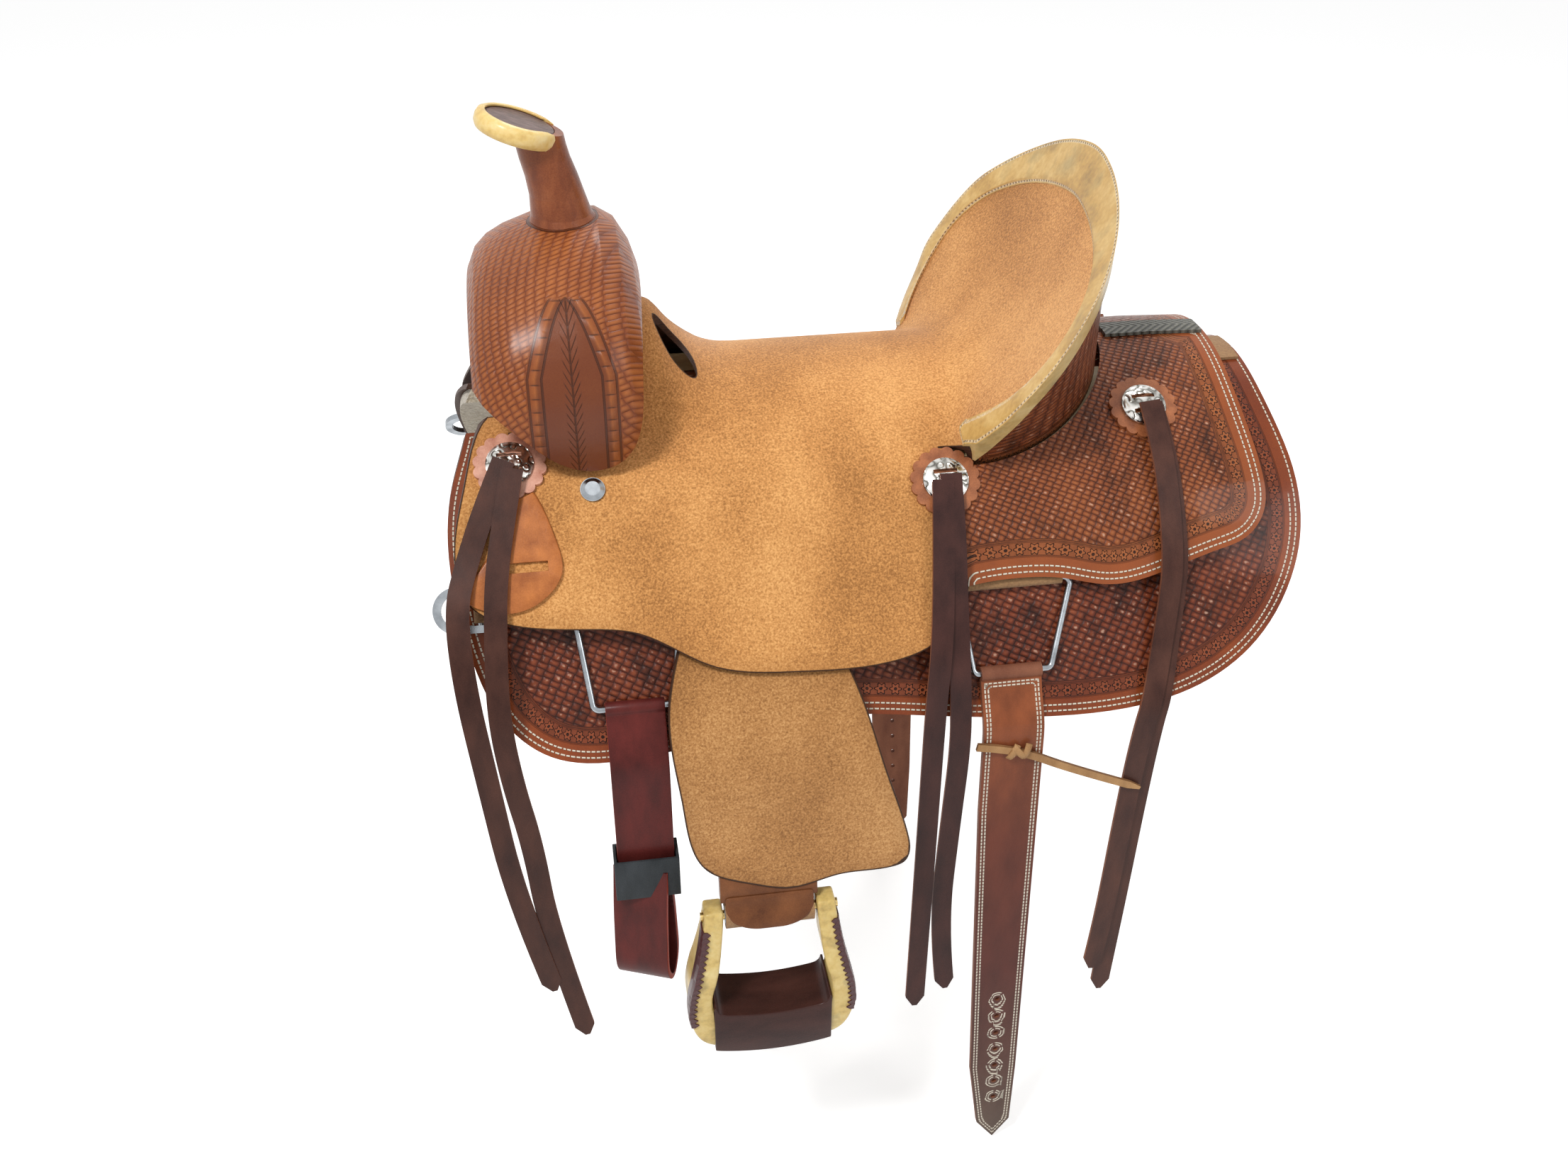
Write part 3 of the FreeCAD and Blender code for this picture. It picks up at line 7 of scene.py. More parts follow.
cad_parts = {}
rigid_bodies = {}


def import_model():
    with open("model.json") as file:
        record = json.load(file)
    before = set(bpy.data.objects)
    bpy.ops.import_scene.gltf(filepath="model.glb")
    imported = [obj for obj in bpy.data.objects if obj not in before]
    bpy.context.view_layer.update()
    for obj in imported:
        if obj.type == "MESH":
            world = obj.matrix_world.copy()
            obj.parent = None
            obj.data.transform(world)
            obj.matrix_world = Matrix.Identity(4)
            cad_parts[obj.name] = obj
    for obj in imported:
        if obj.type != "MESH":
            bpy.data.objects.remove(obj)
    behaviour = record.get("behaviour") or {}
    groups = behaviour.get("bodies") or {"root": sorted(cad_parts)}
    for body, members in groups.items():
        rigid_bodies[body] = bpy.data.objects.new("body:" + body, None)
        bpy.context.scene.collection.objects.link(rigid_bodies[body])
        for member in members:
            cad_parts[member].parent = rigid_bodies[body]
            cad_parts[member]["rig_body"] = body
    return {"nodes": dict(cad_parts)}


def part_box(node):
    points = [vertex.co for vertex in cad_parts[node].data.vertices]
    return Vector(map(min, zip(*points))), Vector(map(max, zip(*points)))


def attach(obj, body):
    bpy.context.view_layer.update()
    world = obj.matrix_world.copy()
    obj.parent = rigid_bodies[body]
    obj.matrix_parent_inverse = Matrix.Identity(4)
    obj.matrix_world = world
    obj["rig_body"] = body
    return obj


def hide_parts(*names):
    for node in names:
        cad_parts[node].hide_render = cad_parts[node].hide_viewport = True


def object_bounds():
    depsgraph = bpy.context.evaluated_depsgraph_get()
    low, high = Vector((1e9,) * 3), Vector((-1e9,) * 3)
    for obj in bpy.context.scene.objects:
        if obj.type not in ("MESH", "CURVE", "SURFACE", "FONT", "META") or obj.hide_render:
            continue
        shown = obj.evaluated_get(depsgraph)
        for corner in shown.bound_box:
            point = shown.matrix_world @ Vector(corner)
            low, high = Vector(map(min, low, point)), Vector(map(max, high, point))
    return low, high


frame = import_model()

cad_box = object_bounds()
nodes = frame["nodes"]
both_sides = (("near", 1), ("off", -1))
scene = bpy.context.scene

# ------------------------------ camera, floor and light
# The saddle is seen from its near side, a little ahead of square and well from above.
# Floor and backdrop are plain white card; three large soft lamps give a level light.

floor_gap = 0.004
target = Vector((-0.078, -0.120, -0.125))
azimuth, elevation, reach = math.radians(-9.0), math.radians(33.0), 1.290
eye = target + reach * Vector((math.sin(azimuth) * math.cos(elevation),
                               -math.cos(azimuth) * math.cos(elevation), math.sin(elevation)))
camera_data = bpy.data.cameras.new("camera")
camera_data.lens = 34.5
camera_data.sensor_width = 36.0
camera_data.clip_end = 60.0
camera = bpy.data.objects.new("camera", camera_data)
scene.collection.objects.link(camera)
camera.location = eye
camera.rotation_euler = (target - eye).to_track_quat("-Z", "Y").to_euler()
scene.camera = camera
scene.view_settings.view_transform = "Standard"


def add(tree, kind, inputs=None, **settings):
    """A shader node, with its inputs linked or set."""
    item = tree.nodes.new("ShaderNode" + kind)
    for key, value in settings.items():
        setattr(item, key, value)
    for key, value in (inputs or {}).items():
        if isinstance(value, bpy.types.NodeSocket):
            tree.links.new(value, item.inputs[key])
        elif isinstance(value, tuple) and item.inputs[key].type == "RGBA":
            item.inputs[key].default_value = (*value, 1)
        else:
            item.inputs[key].default_value = value
    return item


def calc(tree, operation, *values, clamp=False):
    return add(tree, "Math", dict(enumerate(values)), operation=operation, use_clamp=clamp).outputs[0]


def seen_directly(tree):
    """1 for rays from the camera, a reflection or a transmission, 0 for those that carry light."""
    paths = add(tree, "LightPath").outputs
    seen = paths["Is Camera Ray"]
    for kind in ("Is Glossy Ray", "Is Transmission Ray"):
        seen = calc(tree, "MAXIMUM", seen, paths[kind])
    return seen


def white_card(shaded=0.86, glow=0.55):
    """A pale card that takes the light and shadow, and is white to the camera and in reflections."""
    material = bpy.data.materials.new("white_card")
    material.use_nodes = True
    tree = material.node_tree
    tree.nodes.clear()
    card = add(tree, "BsdfDiffuse", {"Color": (shaded, shaded, shaded)})
    white = add(tree, "Emission", {"Strength": calc(tree, "MULTIPLY", seen_directly(tree), glow)})
    both = add(tree, "AddShader", {0: card.outputs[0], 1: white.outputs[0]})
    add(tree, "OutputMaterial", {"Surface": both.outputs[0]})
    return material


bpy.ops.mesh.primitive_plane_add(size=14.0, location=(0, 0, cad_box[0][2] - floor_gap))
floor = bpy.context.object
floor.name = "floor"
floor.data.materials.append(white_card())

world = bpy.data.worlds.new("studio")
scene.world = world
world.use_nodes = True
tree = world.node_tree
background = tree.nodes["Background"]
background.inputs["Color"].default_value = (1.0, 1.0, 1.0, 1)
strength = add(tree, "MapRange", {"Value": seen_directly(tree), "To Min": 0.46, "To Max": 1.0})
tree.links.new(strength.outputs["Result"], background.inputs["Strength"])

lit = Vector((0, 0, -0.1))
for name, place, size, power in (("key", (-1.35, -1.5, 2.5), 0.65, 64.0),
                                 ("fill", (1.9, -1.9, 1.4), 1.2, 15.0),
                                 ("rim", (0.6, 1.7, 2.3), 1.0, 24.0)):
    lamp_data = bpy.data.lights.new(name, "AREA")
    lamp_data.shape = "DISK"
    lamp_data.size = size
    lamp_data.energy = power
    lamp = bpy.data.objects.new(name, lamp_data)
    scene.collection.objects.link(lamp)
    lamp.location = place
    lamp.rotation_euler = (lit - Vector(place)).to_track_quat("-Z", "Y").to_euler()


# ------------------------------ skirts
# Two thick skirting-leather panels that carry the whole saddle.  The grain side is stamped with a
# basket weave inside a row of flowers, dyed russet and antiqued, and the edge has two rows of
# white lockstitch that hold the fleece on.

back_curve = 4.7  # the horse's back lies back_curve * y * y below its spine, in metres
crease = 33.0  # degrees past which an edge of the leather is shaded sharp


def times(tree, first, second, clamp=False):
    return calc(tree, "MULTIPLY", first, second, clamp=clamp)


def clipped(tree, value, slope, start):
    """value * slope + start, held between 0 and 1."""
    return calc(tree, "MULTIPLY_ADD", value, slope, start, clamp=True)


def total(tree, *terms):
    """Sum of (value, weight) terms."""
    result = 0.0
    for value, weight in terms:
        result = calc(tree, "MULTIPLY_ADD", value, weight, result)
    return result


def grain(tree, scale, detail=2.0, stretch=(1.0, 1.0, 1.0)):
    """Noise fixed to the piece; scale is in spots to the metre."""
    where = add(tree, "TexCoord").outputs["Object"]
    where = add(tree, "Mapping", {"Vector": where, "Scale": stretch}).outputs[0]
    return add(tree, "TexNoise", {"Vector": where, "Scale": scale, "Detail": detail}).outputs["Fac"]


def tones(tree, factor, *stops):
    """Colour by factor, from (factor, colour) stops."""
    ramp = add(tree, "ValToRGB", {"Fac": factor})
    elements = ramp.color_ramp.elements
    for element, (place, colour) in zip(elements, (stops[0], stops[-1])):
        element.position, element.color = place, (*colour, 1)
    for place, colour in stops[1:-1]:
        elements.new(place).color = (*colour, 1)
    return ramp.outputs["Color"]


def mixed(tree, factor, first, second):
    return add(tree, "MixRGB", {"Fac": factor, "Color1": first, "Color2": second}).outputs["Color"]


def finish(name, **constants):
    """Makes a material of the function below, which gives colour, roughness and (height, depth)s."""
    def make(build):
        material = bpy.data.materials.new(name)
        material.use_nodes = True
        tree = material.node_tree
        shader = tree.nodes["Principled BSDF"]
        colour, roughness, heights = build(tree)
        values = {"Base Color": colour, "Roughness": roughness}
        values.update({key.replace("_", " ").title().replace("Ior", "IOR"): value
                       for key, value in constants.items()})
        for key, value in values.items():
            if isinstance(value, bpy.types.NodeSocket):
                tree.links.new(value, shader.inputs[key])
            else:
                shader.inputs[key].default_value = (*value, 1) if isinstance(value, tuple) else value
        normal = None
        for height, depth in heights:
            bump = add(tree, "Bump", {"Height": height, "Distance": depth, "Strength": 1.0})
            if normal:
                tree.links.new(normal, bump.inputs["Normal"])
            normal = bump.outputs[0]
        if normal:
            tree.links.new(normal, shader.inputs["Normal"])
        return material
    return make


def position(tree):
    """The three parts of the place on the piece, in metres."""
    return add(tree, "SeparateXYZ", {"Vector": add(tree, "TexCoord").outputs["Object"]}).outputs


def laid(tree, uv_map):
    """The two lengths of one of a tooled piece's maps, in metres."""
    where = add(tree, "SeparateXYZ", {"Vector": add(tree, "UVMap", uv_map=uv_map).outputs[0]})
    return where.outputs[0], where.outputs[1]


def line_at(tree, gap, place, half):
    """1 on a thin line at one distance from the edge, 0 off it."""
    away = calc(tree, "ABSOLUTE", calc(tree, "SUBTRACT", gap, place))
    return clipped(tree, away, -2.0 / half, 2.0)


def repeat(tree, length, pitch):
    """Goes from 0 to 1 over each pitch."""
    return calc(tree, "FRACT", times(tree, length, 1 / pitch))


def dome(tree, part):
    """Rises from 0 to 1 and back as part goes from 0 to 1."""
    return times(tree, times(tree, part, 4.0), calc(tree, "SUBTRACT", 1.0, part))


def basket_weave(tree, u, v, long=0.0078, short=0.0056, lean=math.radians(28.0)):
    """Height of the basket stamp: little ribs laid crosswise by turns."""
    cells, ribs = [], []
    for cos, sin, pitch in ((math.cos(lean), math.sin(lean), long), (-math.sin(lean), math.cos(lean), short)):
        cell = total(tree, (u, cos / pitch), (v, sin / pitch))
        cells.append(calc(tree, "FLOOR", cell))
        ribs.append(dome(tree, calc(tree, "FRACT", cell)))
    turn = calc(tree, "FLOORED_MODULO", calc(tree, "ADD", *cells), 2.0)
    along, across = (times(tree, rib, calc(tree, "MULTIPLY_ADD", other, 0.5, 0.5))
                     for rib, other in (ribs, ribs[::-1]))
    return calc(tree, "MULTIPLY_ADD", turn, calc(tree, "SUBTRACT", along, across), across)


def flower_row(tree, along, gap, middle, pitch=0.0116, radius=0.0046):
    """Height of a row of small stamped flowers that follows the edge."""
    step = calc(tree, "SUBTRACT", repeat(tree, along, pitch), 0.5)
    x = times(tree, step, pitch)
    y = calc(tree, "SUBTRACT", gap, middle)
    reach = calc(tree, "SQRT", calc(tree, "ADD", times(tree, x, x), times(tree, y, y)))
    petal = calc(tree, "COSINE", times(tree, calc(tree, "ARCTAN2", y, x), 6.0))
    rim = calc(tree, "MULTIPLY_ADD", petal, 0.2 * radius, radius)
    flower = times(tree, calc(tree, "SUBTRACT", rim, reach), 1 / 0.0011, clamp=True)
    eye = clipped(tree, reach, -1 / 0.0006, 2.4)
    return calc(tree, "MULTIPLY_ADD", eye, -0.7, flower)


def stitch_row(tree, along, gap, place, pitch=0.0044):
    """1 on the thread of a row of stitches that follows the edge."""
    step = repeat(tree, along, pitch)
    thread = clipped(tree, dome(tree, step), 5.0, -1.6)
    return times(tree, thread, line_at(tree, gap, place, 0.0009))


def tooled_leather(name, dark, middle, light, band, field_from=0.029, rows=(0.0045, 0.0095),
                   second_below=1.0, long=0.0078, short=0.0056):
    """Stamped, dyed and antiqued leather: edge stitches, plain band, flowers, then basket weave."""
    @finish(name, coat_weight=0.22, coat_roughness=0.11, specular_ior_level=0.12)
    def leather(tree):
        along, gap = laid(tree, "edge")
        u, v = laid(tree, "lay")
        field = clipped(tree, gap, 1 / 0.0012, -field_from / 0.0012)
        weave = times(tree, basket_weave(tree, u, v, long, short), field)
        inner, centre, outer = (field_from - inset for inset in (0.0015, 0.0075, 0.0135))
        flowers = flower_row(tree, along, gap, centre)
        outlines = dome(tree, flowers)
        lines = calc(tree, "ADD", line_at(tree, gap, inner, 0.0011), line_at(tree, gap, outer, 0.0011))
        stamped = clipped(tree, gap, 1 / 0.0008, -outer / 0.0008)
        sunk = times(tree, calc(tree, "SUBTRACT", stamped, field),
                     calc(tree, "SUBTRACT", 1.0, flowers), clamp=True)
        height = total(tree, (weave, 1.0), (flowers, 0.9), (sunk, -0.5), (lines, -0.6))
        lower = clipped(tree, position(tree)[2], -200.0, 200.0 * second_below)
        thread = calc(tree, "ADD", stitch_row(tree, along, gap, rows[0]),
                      times(tree, stitch_row(tree, along, gap, rows[1]), lower), clamp=True)
        cloud = grain(tree, 22.0, 4.0)
        pores = grain(tree, 900.0, 3.0)
        border = calc(tree, "SUBTRACT", stamped, field, clamp=True)
        shade = total(tree, (weave, 0.62), (border, 0.52), (flowers, 0.10), (cloud, 0.55), (pores, 0.16))
        colour = tones(tree, calc(tree, "SUBTRACT", shade, 0.30), (0.05, dark), (0.45, middle), (0.9, light))
        plain = tones(tree, total(tree, (cloud, 0.7), (pores, 0.3)), (0.3, middle), (0.62, band))
        colour = mixed(tree, stamped, plain, colour)
        smudge = clipped(tree, grain(tree, 50.0, 5.0, (1.0, 0.6, 0.6)), 6.0, -3.2)
        worn = clipped(tree, grain(tree, 130.0, 3.0), 4.0, -1.4)
        dirt = total(tree, (times(tree, smudge, field), 0.72), (outlines, 1.0), (lines, 0.35),
                     (times(tree, sunk, worn), 0.22))
        colour = mixed(tree, times(tree, dirt, 1.0, clamp=True), colour,
                       tuple(0.45 * part for part in dark))
        # Painted glints: pale specks on the high points of the weave, partly real rubbed wear on the tips and
        # partly painted highlight.
        glints_and_rubbed_tips = times(tree, clipped(tree, weave, 4.0, -2.8),
                     clipped(tree, grain(tree, 210.0, 2.0), 7.0, -3.9))
        colour = mixed(tree, times(tree, glints_and_rubbed_tips, 0.55), colour, (0.72, 0.46, 0.33))
        rough = total(tree, (thread, 0.3), (weave, -0.16), (pores, 0.2), (1.0, 0.36))
        relief = total(tree, (height, 1.0), (thread, 0.6), (pores, 0.10))
        return mixed(tree, thread, colour, (0.76, 0.69, 0.56)), rough, [(relief, 0.0013)]
    return leather


@finish("cut_edge", coat_weight=0.1, coat_roughness=0.4, specular_ior_level=0.25)
def cut_edge(tree):
    fibres = grain(tree, 260.0, 3.0, (1.0, 1.0, 3.0))
    colour = tones(tree, fibres, (0.3, (0.030, 0.012, 0.007)), (0.8, (0.095, 0.036, 0.017)))
    return colour, 0.55, [(fibres, 0.0003)]


def piece_of(mesh, name, *materials):
    """Object of its own from a finished bmesh."""
    data = bpy.data.meshes.new(name)
    mesh.to_mesh(data)
    mesh.free()
    for material in materials:
        data.materials.append(material)
    piece = bpy.data.objects.new(name, data)
    scene.collection.objects.link(piece)
    return piece


def copy_of(node, spacing=0.0):
    """A CAD shape as one joined mesh, cut across at a spacing so that it can carry a pattern."""
    mesh = bmesh.new()
    mesh.from_mesh(nodes[node].data)
    bmesh.ops.remove_doubles(mesh, verts=mesh.verts, dist=0.00002)
    bmesh.ops.dissolve_degenerate(mesh, edges=mesh.edges, dist=0.000005)
    low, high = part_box(node)
    for axis in (0, 2) if spacing else ():
        normal = Vector((axis == 0, 0, axis == 2))
        for k in range(1, int((high[axis] - low[axis]) / spacing)):
            everything = mesh.verts[:] + mesh.edges[:] + mesh.faces[:]
            bmesh.ops.bisect_plane(mesh, geom=everything, plane_co=normal * (low[axis] + spacing * k),
                                   plane_no=normal)
    for face in mesh.faces:
        face.smooth = True
    return mesh


def crease_edges(mesh, angle):
    """Shades the edges smooth, but for those that turn by more degrees than the angle."""
    for edge in mesh.edges:
        edge.smooth = edge.calc_face_angle(0.0) < math.radians(angle)


def outside_of(mesh):
    """The smooth run of faces that looks most away from the horse."""
    left = set(mesh.faces)
    best, best_area = None, 0.0
    while left:
        run, todo, area = set(), [left.pop()], 0.0
        while todo:
            face = todo.pop()
            run.add(face)
            middle = face.calc_center_median()
            out = Vector((0, 2 * back_curve * middle.y, 1)).normalized()
            area += face.calc_area() * face.normal.dot(out)
            for edge in face.edges:
                if len(edge.link_faces) == 2 and edge.calc_face_angle(0.0) < math.radians(crease):
                    for other in edge.link_faces:
                        if other in left:
                            left.discard(other)
                            todo.append(other)
        if area > best_area:
            best, best_area = run, area
    return best


def rim_points(run):
    """Points every millimetre round the run's edges, each with the length along the edge so far."""
    rim = {}
    for face in run:
        for edge in face.edges:
            if sum(other in run for other in edge.link_faces) == 1:
                for vert in edge.verts:
                    rim.setdefault(vert, []).append(edge)
    points, along, used = [], 0.0, set()
    for start in sorted(rim, key=lambda corner: tuple(corner.co)):
        vert = start
        while True:
            onward = [(tuple(edge.other_vert(vert).co), edge) for edge in rim[vert] if edge not in used]
            if not onward:
                break
            edge = min(onward, key=lambda pair: pair[0])[1]
            used.add(edge)
            other = edge.other_vert(vert)
            length = edge.calc_length()
            steps = max(1, int(length / 0.001))
            for k in range(steps):
                at = k / steps
                points.append((vert.co.lerp(other.co, at), along + length * at))
            along += length
            vert = other
    return points


def dress(node, name, leather, edge=cut_edge, spacing=0.007, bordered=lambda place: True, upright=False):
    """A copy of the node whose outside knows how far it is from, and along, its bordered edges."""
    mesh = copy_of(node, spacing)
    run = outside_of(mesh)
    points = [point for point in rim_points(run) if bordered(point[0])]
    search = kdtree.KDTree(len(points))
    for k, (place, _) in enumerate(points):
        search.insert(place, k)
    search.balance()
    lay, rim = (mesh.loops.layers.uv.new(key) for key in ("lay", "edge"))
    nearest = {}
    for face in mesh.faces:
        face.material_index = 0 if face in run else 1
        for corner in face.loops:
            place = corner.vert.co
            slope = 2 * back_curve * abs(place.y)
            root = math.hypot(1.0, slope)
            corner[lay].uv = (place.y, place.z) if upright else \
                (place.x, abs(place.y) / 2 * root + math.log(slope + root) / (4 * back_curve))
            if face in run:
                if corner.vert not in nearest:
                    _, k, gap = search.find(place)
                    nearest[corner.vert] = (points[k][1], gap)
                corner[rim].uv = nearest[corner.vert]
    crease_edges(mesh, crease)
    piece = piece_of(mesh, name, leather, edge)
    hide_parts(node)
    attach(piece, nodes[node]["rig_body"])
    return piece


skirt_leather = tooled_leather("skirt_leather", (0.030, 0.007, 0.004), (0.150, 0.030, 0.012),
                               (0.34, 0.090, 0.034), (0.27, 0.060, 0.016), second_below=-0.06)
for side in ("near", "off"):
    dress("skirt_" + side, "tooled_skirt_" + side, skirt_leather)


def coat(material, *names):
    """Gives CAD nodes whose shape is right a finish of their own."""
    for name in names:
        nodes[name].data.materials.clear()
        nodes[name].data.materials.append(material)


# ------------------------------ fleece
# A curly sheepskin pile that grips the blanket.
# It is sewn on under the skirts, along their edge.

@finish("fleece_pile", sheen_weight=0.5, sheen_roughness=0.6)
def fleece_pile(tree):
    tufts = add(tree, "TexVoronoi", {"Vector": add(tree, "TexCoord").outputs["Object"], "Scale": 260.0})
    curls = grain(tree, 480.0, 4.0)
    shade = total(tree, (tufts.outputs["Distance"], -0.5), (curls, 0.8), (grain(tree, 18.0), 0.3))
    colour = tones(tree, shade, (0.1, (0.42, 0.34, 0.23)), (0.75, (0.78, 0.71, 0.57)))
    return colour, 0.95, [(shade, 0.003)]


coat(fleece_pile, "fleece_lining")


# ------------------------------ tree
# The saddle's skeleton: two bars, the swelled fork and the cantle board, of wood under rawhide,
# with a thin leather ground seat between them.  Little of it shows but from below.

@finish("tree_rawhide", coat_weight=0.2, coat_roughness=0.35)
def tree_rawhide(tree):
    streaks = grain(tree, 30.0, 5.0, (1.0, 6.0, 6.0))
    colour = tones(tree, streaks, (0.25, (0.40, 0.26, 0.12)), (0.8, (0.66, 0.50, 0.28)))
    return colour, 0.5, [(streaks, 0.0006)]


@finish("flesh_side", sheen_weight=0.15)
def flesh_side(tree):
    fibres = grain(tree, 520.0, 4.0)
    shade = total(tree, (fibres, 0.7), (grain(tree, 40.0), 0.3))
    colour = tones(tree, shade, (0.3, (0.23, 0.115, 0.048)), (0.75, (0.42, 0.24, 0.105)))
    return colour, 0.85, [(fibres, 0.0004)]


coat(tree_rawhide, "tree_bars", "tree_fork", "tree_cantle")
coat(flesh_side, "ground_seat", "skirt_connector", "front_rigging", "rear_rigging", "breast_collar_tabs")


# ------------------------------ fork cover
# Russet leather wetted and drawn over the swelled fork.  Its front is basket stamped; the side of
# each swell is a plain glossy panel between two raised scalloped ridges, with a feather down it.

@finish("fork_leather", coat_weight=0.30, coat_roughness=0.26, specular_ior_level=0.12)
def fork_leather(tree):
    middle_x, top, tall, wide = -0.243, 0.140, 0.052, 0.0285
    ridge_wide, scallop, barbs = 0.0050, 0.0105, 0.0080
    x, y, z = position(tree)
    _, gap = laid(tree, "edge")
    reach = calc(tree, "ABSOLUTE", y)
    side = times(tree, clipped(tree, reach, 1 / 0.02, -2.6), clipped(tree, z, -1 / 0.003, 0.139 / 0.003))
    middle = calc(tree, "SUBTRACT", x, middle_x)
    rise = clipped(tree, z, -1 / tall, top / tall)
    half = times(tree, calc(tree, "SQRT", rise), wide)
    spread = calc(tree, "SUBTRACT", calc(tree, "ABSOLUTE", middle), half)
    beside = clipped(tree, calc(tree, "ABSOLUTE", spread), -1 / ridge_wide, 1.0)
    tooth = dome(tree, repeat(tree, z, scallop))
    ridge = times(tree, beside, calc(tree, "MULTIPLY_ADD", tooth, 0.55, 0.45))
    notch = times(tree, clipped(tree, tooth, -4.0, 1.2), times(tree, beside, 1.6, clamp=True))
    groove = line_at(tree, calc(tree, "ABSOLUTE", spread), 0.0054, 0.0011)
    panel = times(tree, spread, -1 / 0.002, clamp=True)
    off_vein = calc(tree, "ABSOLUTE", middle)
    vein = clipped(tree, off_vein, -1 / 0.0010, 1.0)
    slope = calc(tree, "MULTIPLY_ADD", off_vein, -1.9, z)
    slant = repeat(tree, slope, barbs)
    barb = times(tree, clipped(tree, slant, -4.5, 1.0), clipped(tree, off_vein, -1 / 0.0015, 4.6))
    feather = times(tree, calc(tree, "ADD", vein, barb, clamp=True), panel)
    arc = calc(tree, "MULTIPLY_ADD", reach, -0.6, z)
    run = calc(tree, "MULTIPLY_ADD", reach, 0.8, x)
    field = clipped(tree, spread, 1 / 0.0015, -4.2)
    field = calc(tree, "MAXIMUM", field, calc(tree, "SUBTRACT", 1.0, side))
    edge_on = clipped(tree, gap, 1 / 0.001, -6.0)
    weave = times(tree, basket_weave(tree, run, arc), times(tree, field, edge_on))
    rim = line_at(tree, gap, 0.0055, 0.0014)
    pores = grain(tree, 800.0, 3.0)
    cloud = grain(tree, 18.0, 4.0)
    ridge, notch, feather, groove = (times(tree, part, side) for part in (ridge, notch, feather, groove))
    shade = total(tree, (weave, 0.42), (field, -0.16), (ridge, 0.22), (cloud, 0.40), (pores, 0.14),
                  (1.0, 0.26))
    colour = tones(tree, shade, (0.1, (0.070, 0.016, 0.006)), (0.5, (0.215, 0.052, 0.014)),
                   (0.95, (0.46, 0.150, 0.042)))
    colour = mixed(tree, times(tree, panel, times(tree, side, 0.55)), colour, (0.105, 0.026, 0.012))
    drawn = total(tree, (notch, 0.75), (feather, 0.62), (rim, 0.6), (groove, 0.6))
    colour = mixed(tree, times(tree, drawn, 1.0, clamp=True), colour, (0.022, 0.008, 0.005))
    edge_dark = clipped(tree, gap, -1 / 0.0012, 2.2)
    height = total(tree, (weave, 0.8), (ridge, 1.7), (feather, -0.8), (rim, -0.6), (groove, -0.5),
                   (pores, 0.1))
    rough = total(tree, (weave, 0.10), (pores, 0.12), (1.0, 0.26))
    return mixed(tree, edge_dark, colour, (0.02, 0.008, 0.005)), rough, [(height, 0.0013)]


dress("fork_cover", "fork_leather_cover", fork_leather, spacing=0.009)


# ------------------------------ horn
# A steel horn whose neck is wrapped in russet leather, with a flat leather cap on top and a
# rawhide binding folded round the cap's rim and drawn together behind.

@finish("neck_leather", coat_weight=0.30, coat_roughness=0.14, specular_ior_level=0.12)
def neck_leather(tree):
    drawn = grain(tree, 70.0, 5.0, (1.0, 1.0, 0.28))
    scars = grain(tree, 28.0, 3.0)
    pores = grain(tree, 900.0, 3.0)
    shade = total(tree, (drawn, 0.6), (scars, 0.4), (pores, 0.2))
    colour = tones(tree, shade, (0.34, (0.055, 0.014, 0.008)), (0.56, (0.200, 0.052, 0.018)),
                   (0.85, (0.42, 0.14, 0.050)))
    return colour, total(tree, (drawn, 0.3), (1.0, 0.2)), [(total(tree, (drawn, 1.0), (pores, 0.2)), 0.0009)]


@finish("cap_leather", coat_weight=0.15, coat_roughness=0.3, specular_ior_level=0.3)
def cap_leather(tree):
    scuffs = grain(tree, 120.0, 6.0, (1.0, 2.5, 1.0))
    pores = grain(tree, 900.0)
    shade = total(tree, (scuffs, 0.8), (pores, 0.25))
    colour = tones(tree, shade, (0.3, (0.050, 0.026, 0.022)), (0.55, (0.120, 0.070, 0.060)),
                   (0.85, (0.25, 0.17, 0.15)))
    return colour, 0.5, [(shade, 0.0006)]


def dried_hide(tree, streaks, patches, dark, middle, light, stain, soil):
    """Colour, shade and mottle of rawhide: yellow, streaked, and soiled where hands have been."""
    mottle = grain(tree, 240.0, 4.0)
    shade = total(tree, (streaks, 0.7), (mottle, 0.35))
    colour = tones(tree, shade, (0.28, dark), (0.5, middle), (0.8, light))
    grime = clipped(tree, grain(tree, patches, 5.0), 5.0, -2.6)
    return mixed(tree, times(tree, grime, stain), colour, soil), shade, mottle


def rawhide_finish(name, dark, middle, light, stain):
    @finish(name, coat_weight=0.25, coat_roughness=0.22, specular_ior_level=0.3, subsurface_weight=0.04)
    def hide(tree):
        streaks = grain(tree, 26.0, 6.0, (1.0, 1.0, 2.0))
        colour, shade, mottle = dried_hide(tree, streaks, 42.0, dark, middle, light, stain,
                                           (0.155, 0.120, 0.060))
        return colour, total(tree, (mottle, 0.3), (1.0, 0.26)), [(shade, 0.0009)]
    return hide


@finish("steel", metallic=1.0)
def steel(tree):
    wear = grain(tree, 70.0, 4.0)
    colour = tones(tree, wear, (0.3, (0.24, 0.26, 0.28)), (0.75, (0.50, 0.53, 0.56)))
    return colour, total(tree, (wear, 0.2), (1.0, 0.14)), [(wear, 0.0001)]


def round_over(mesh, turn, ease, segments):
    """Rounds the edges that turn by more than so many degrees."""
    sharp = [e for e in mesh.edges if e.calc_face_angle(0.0) > math.radians(turn)]
    bmesh.ops.bevel(mesh, geom=sharp, offset=ease, segments=segments, profile=0.5, affect="EDGES",
                    material=-1)


def eased_copy(node, name, material, ease, turn=40.0):
    """A copy of the node with its sharp edges rounded over."""
    mesh = copy_of(node)
    round_over(mesh, turn, ease, 3)
    crease_edges(mesh, 50.0)
    piece = piece_of(mesh, name, material)
    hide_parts(node)
    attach(piece, nodes[node]["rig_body"])
    return piece


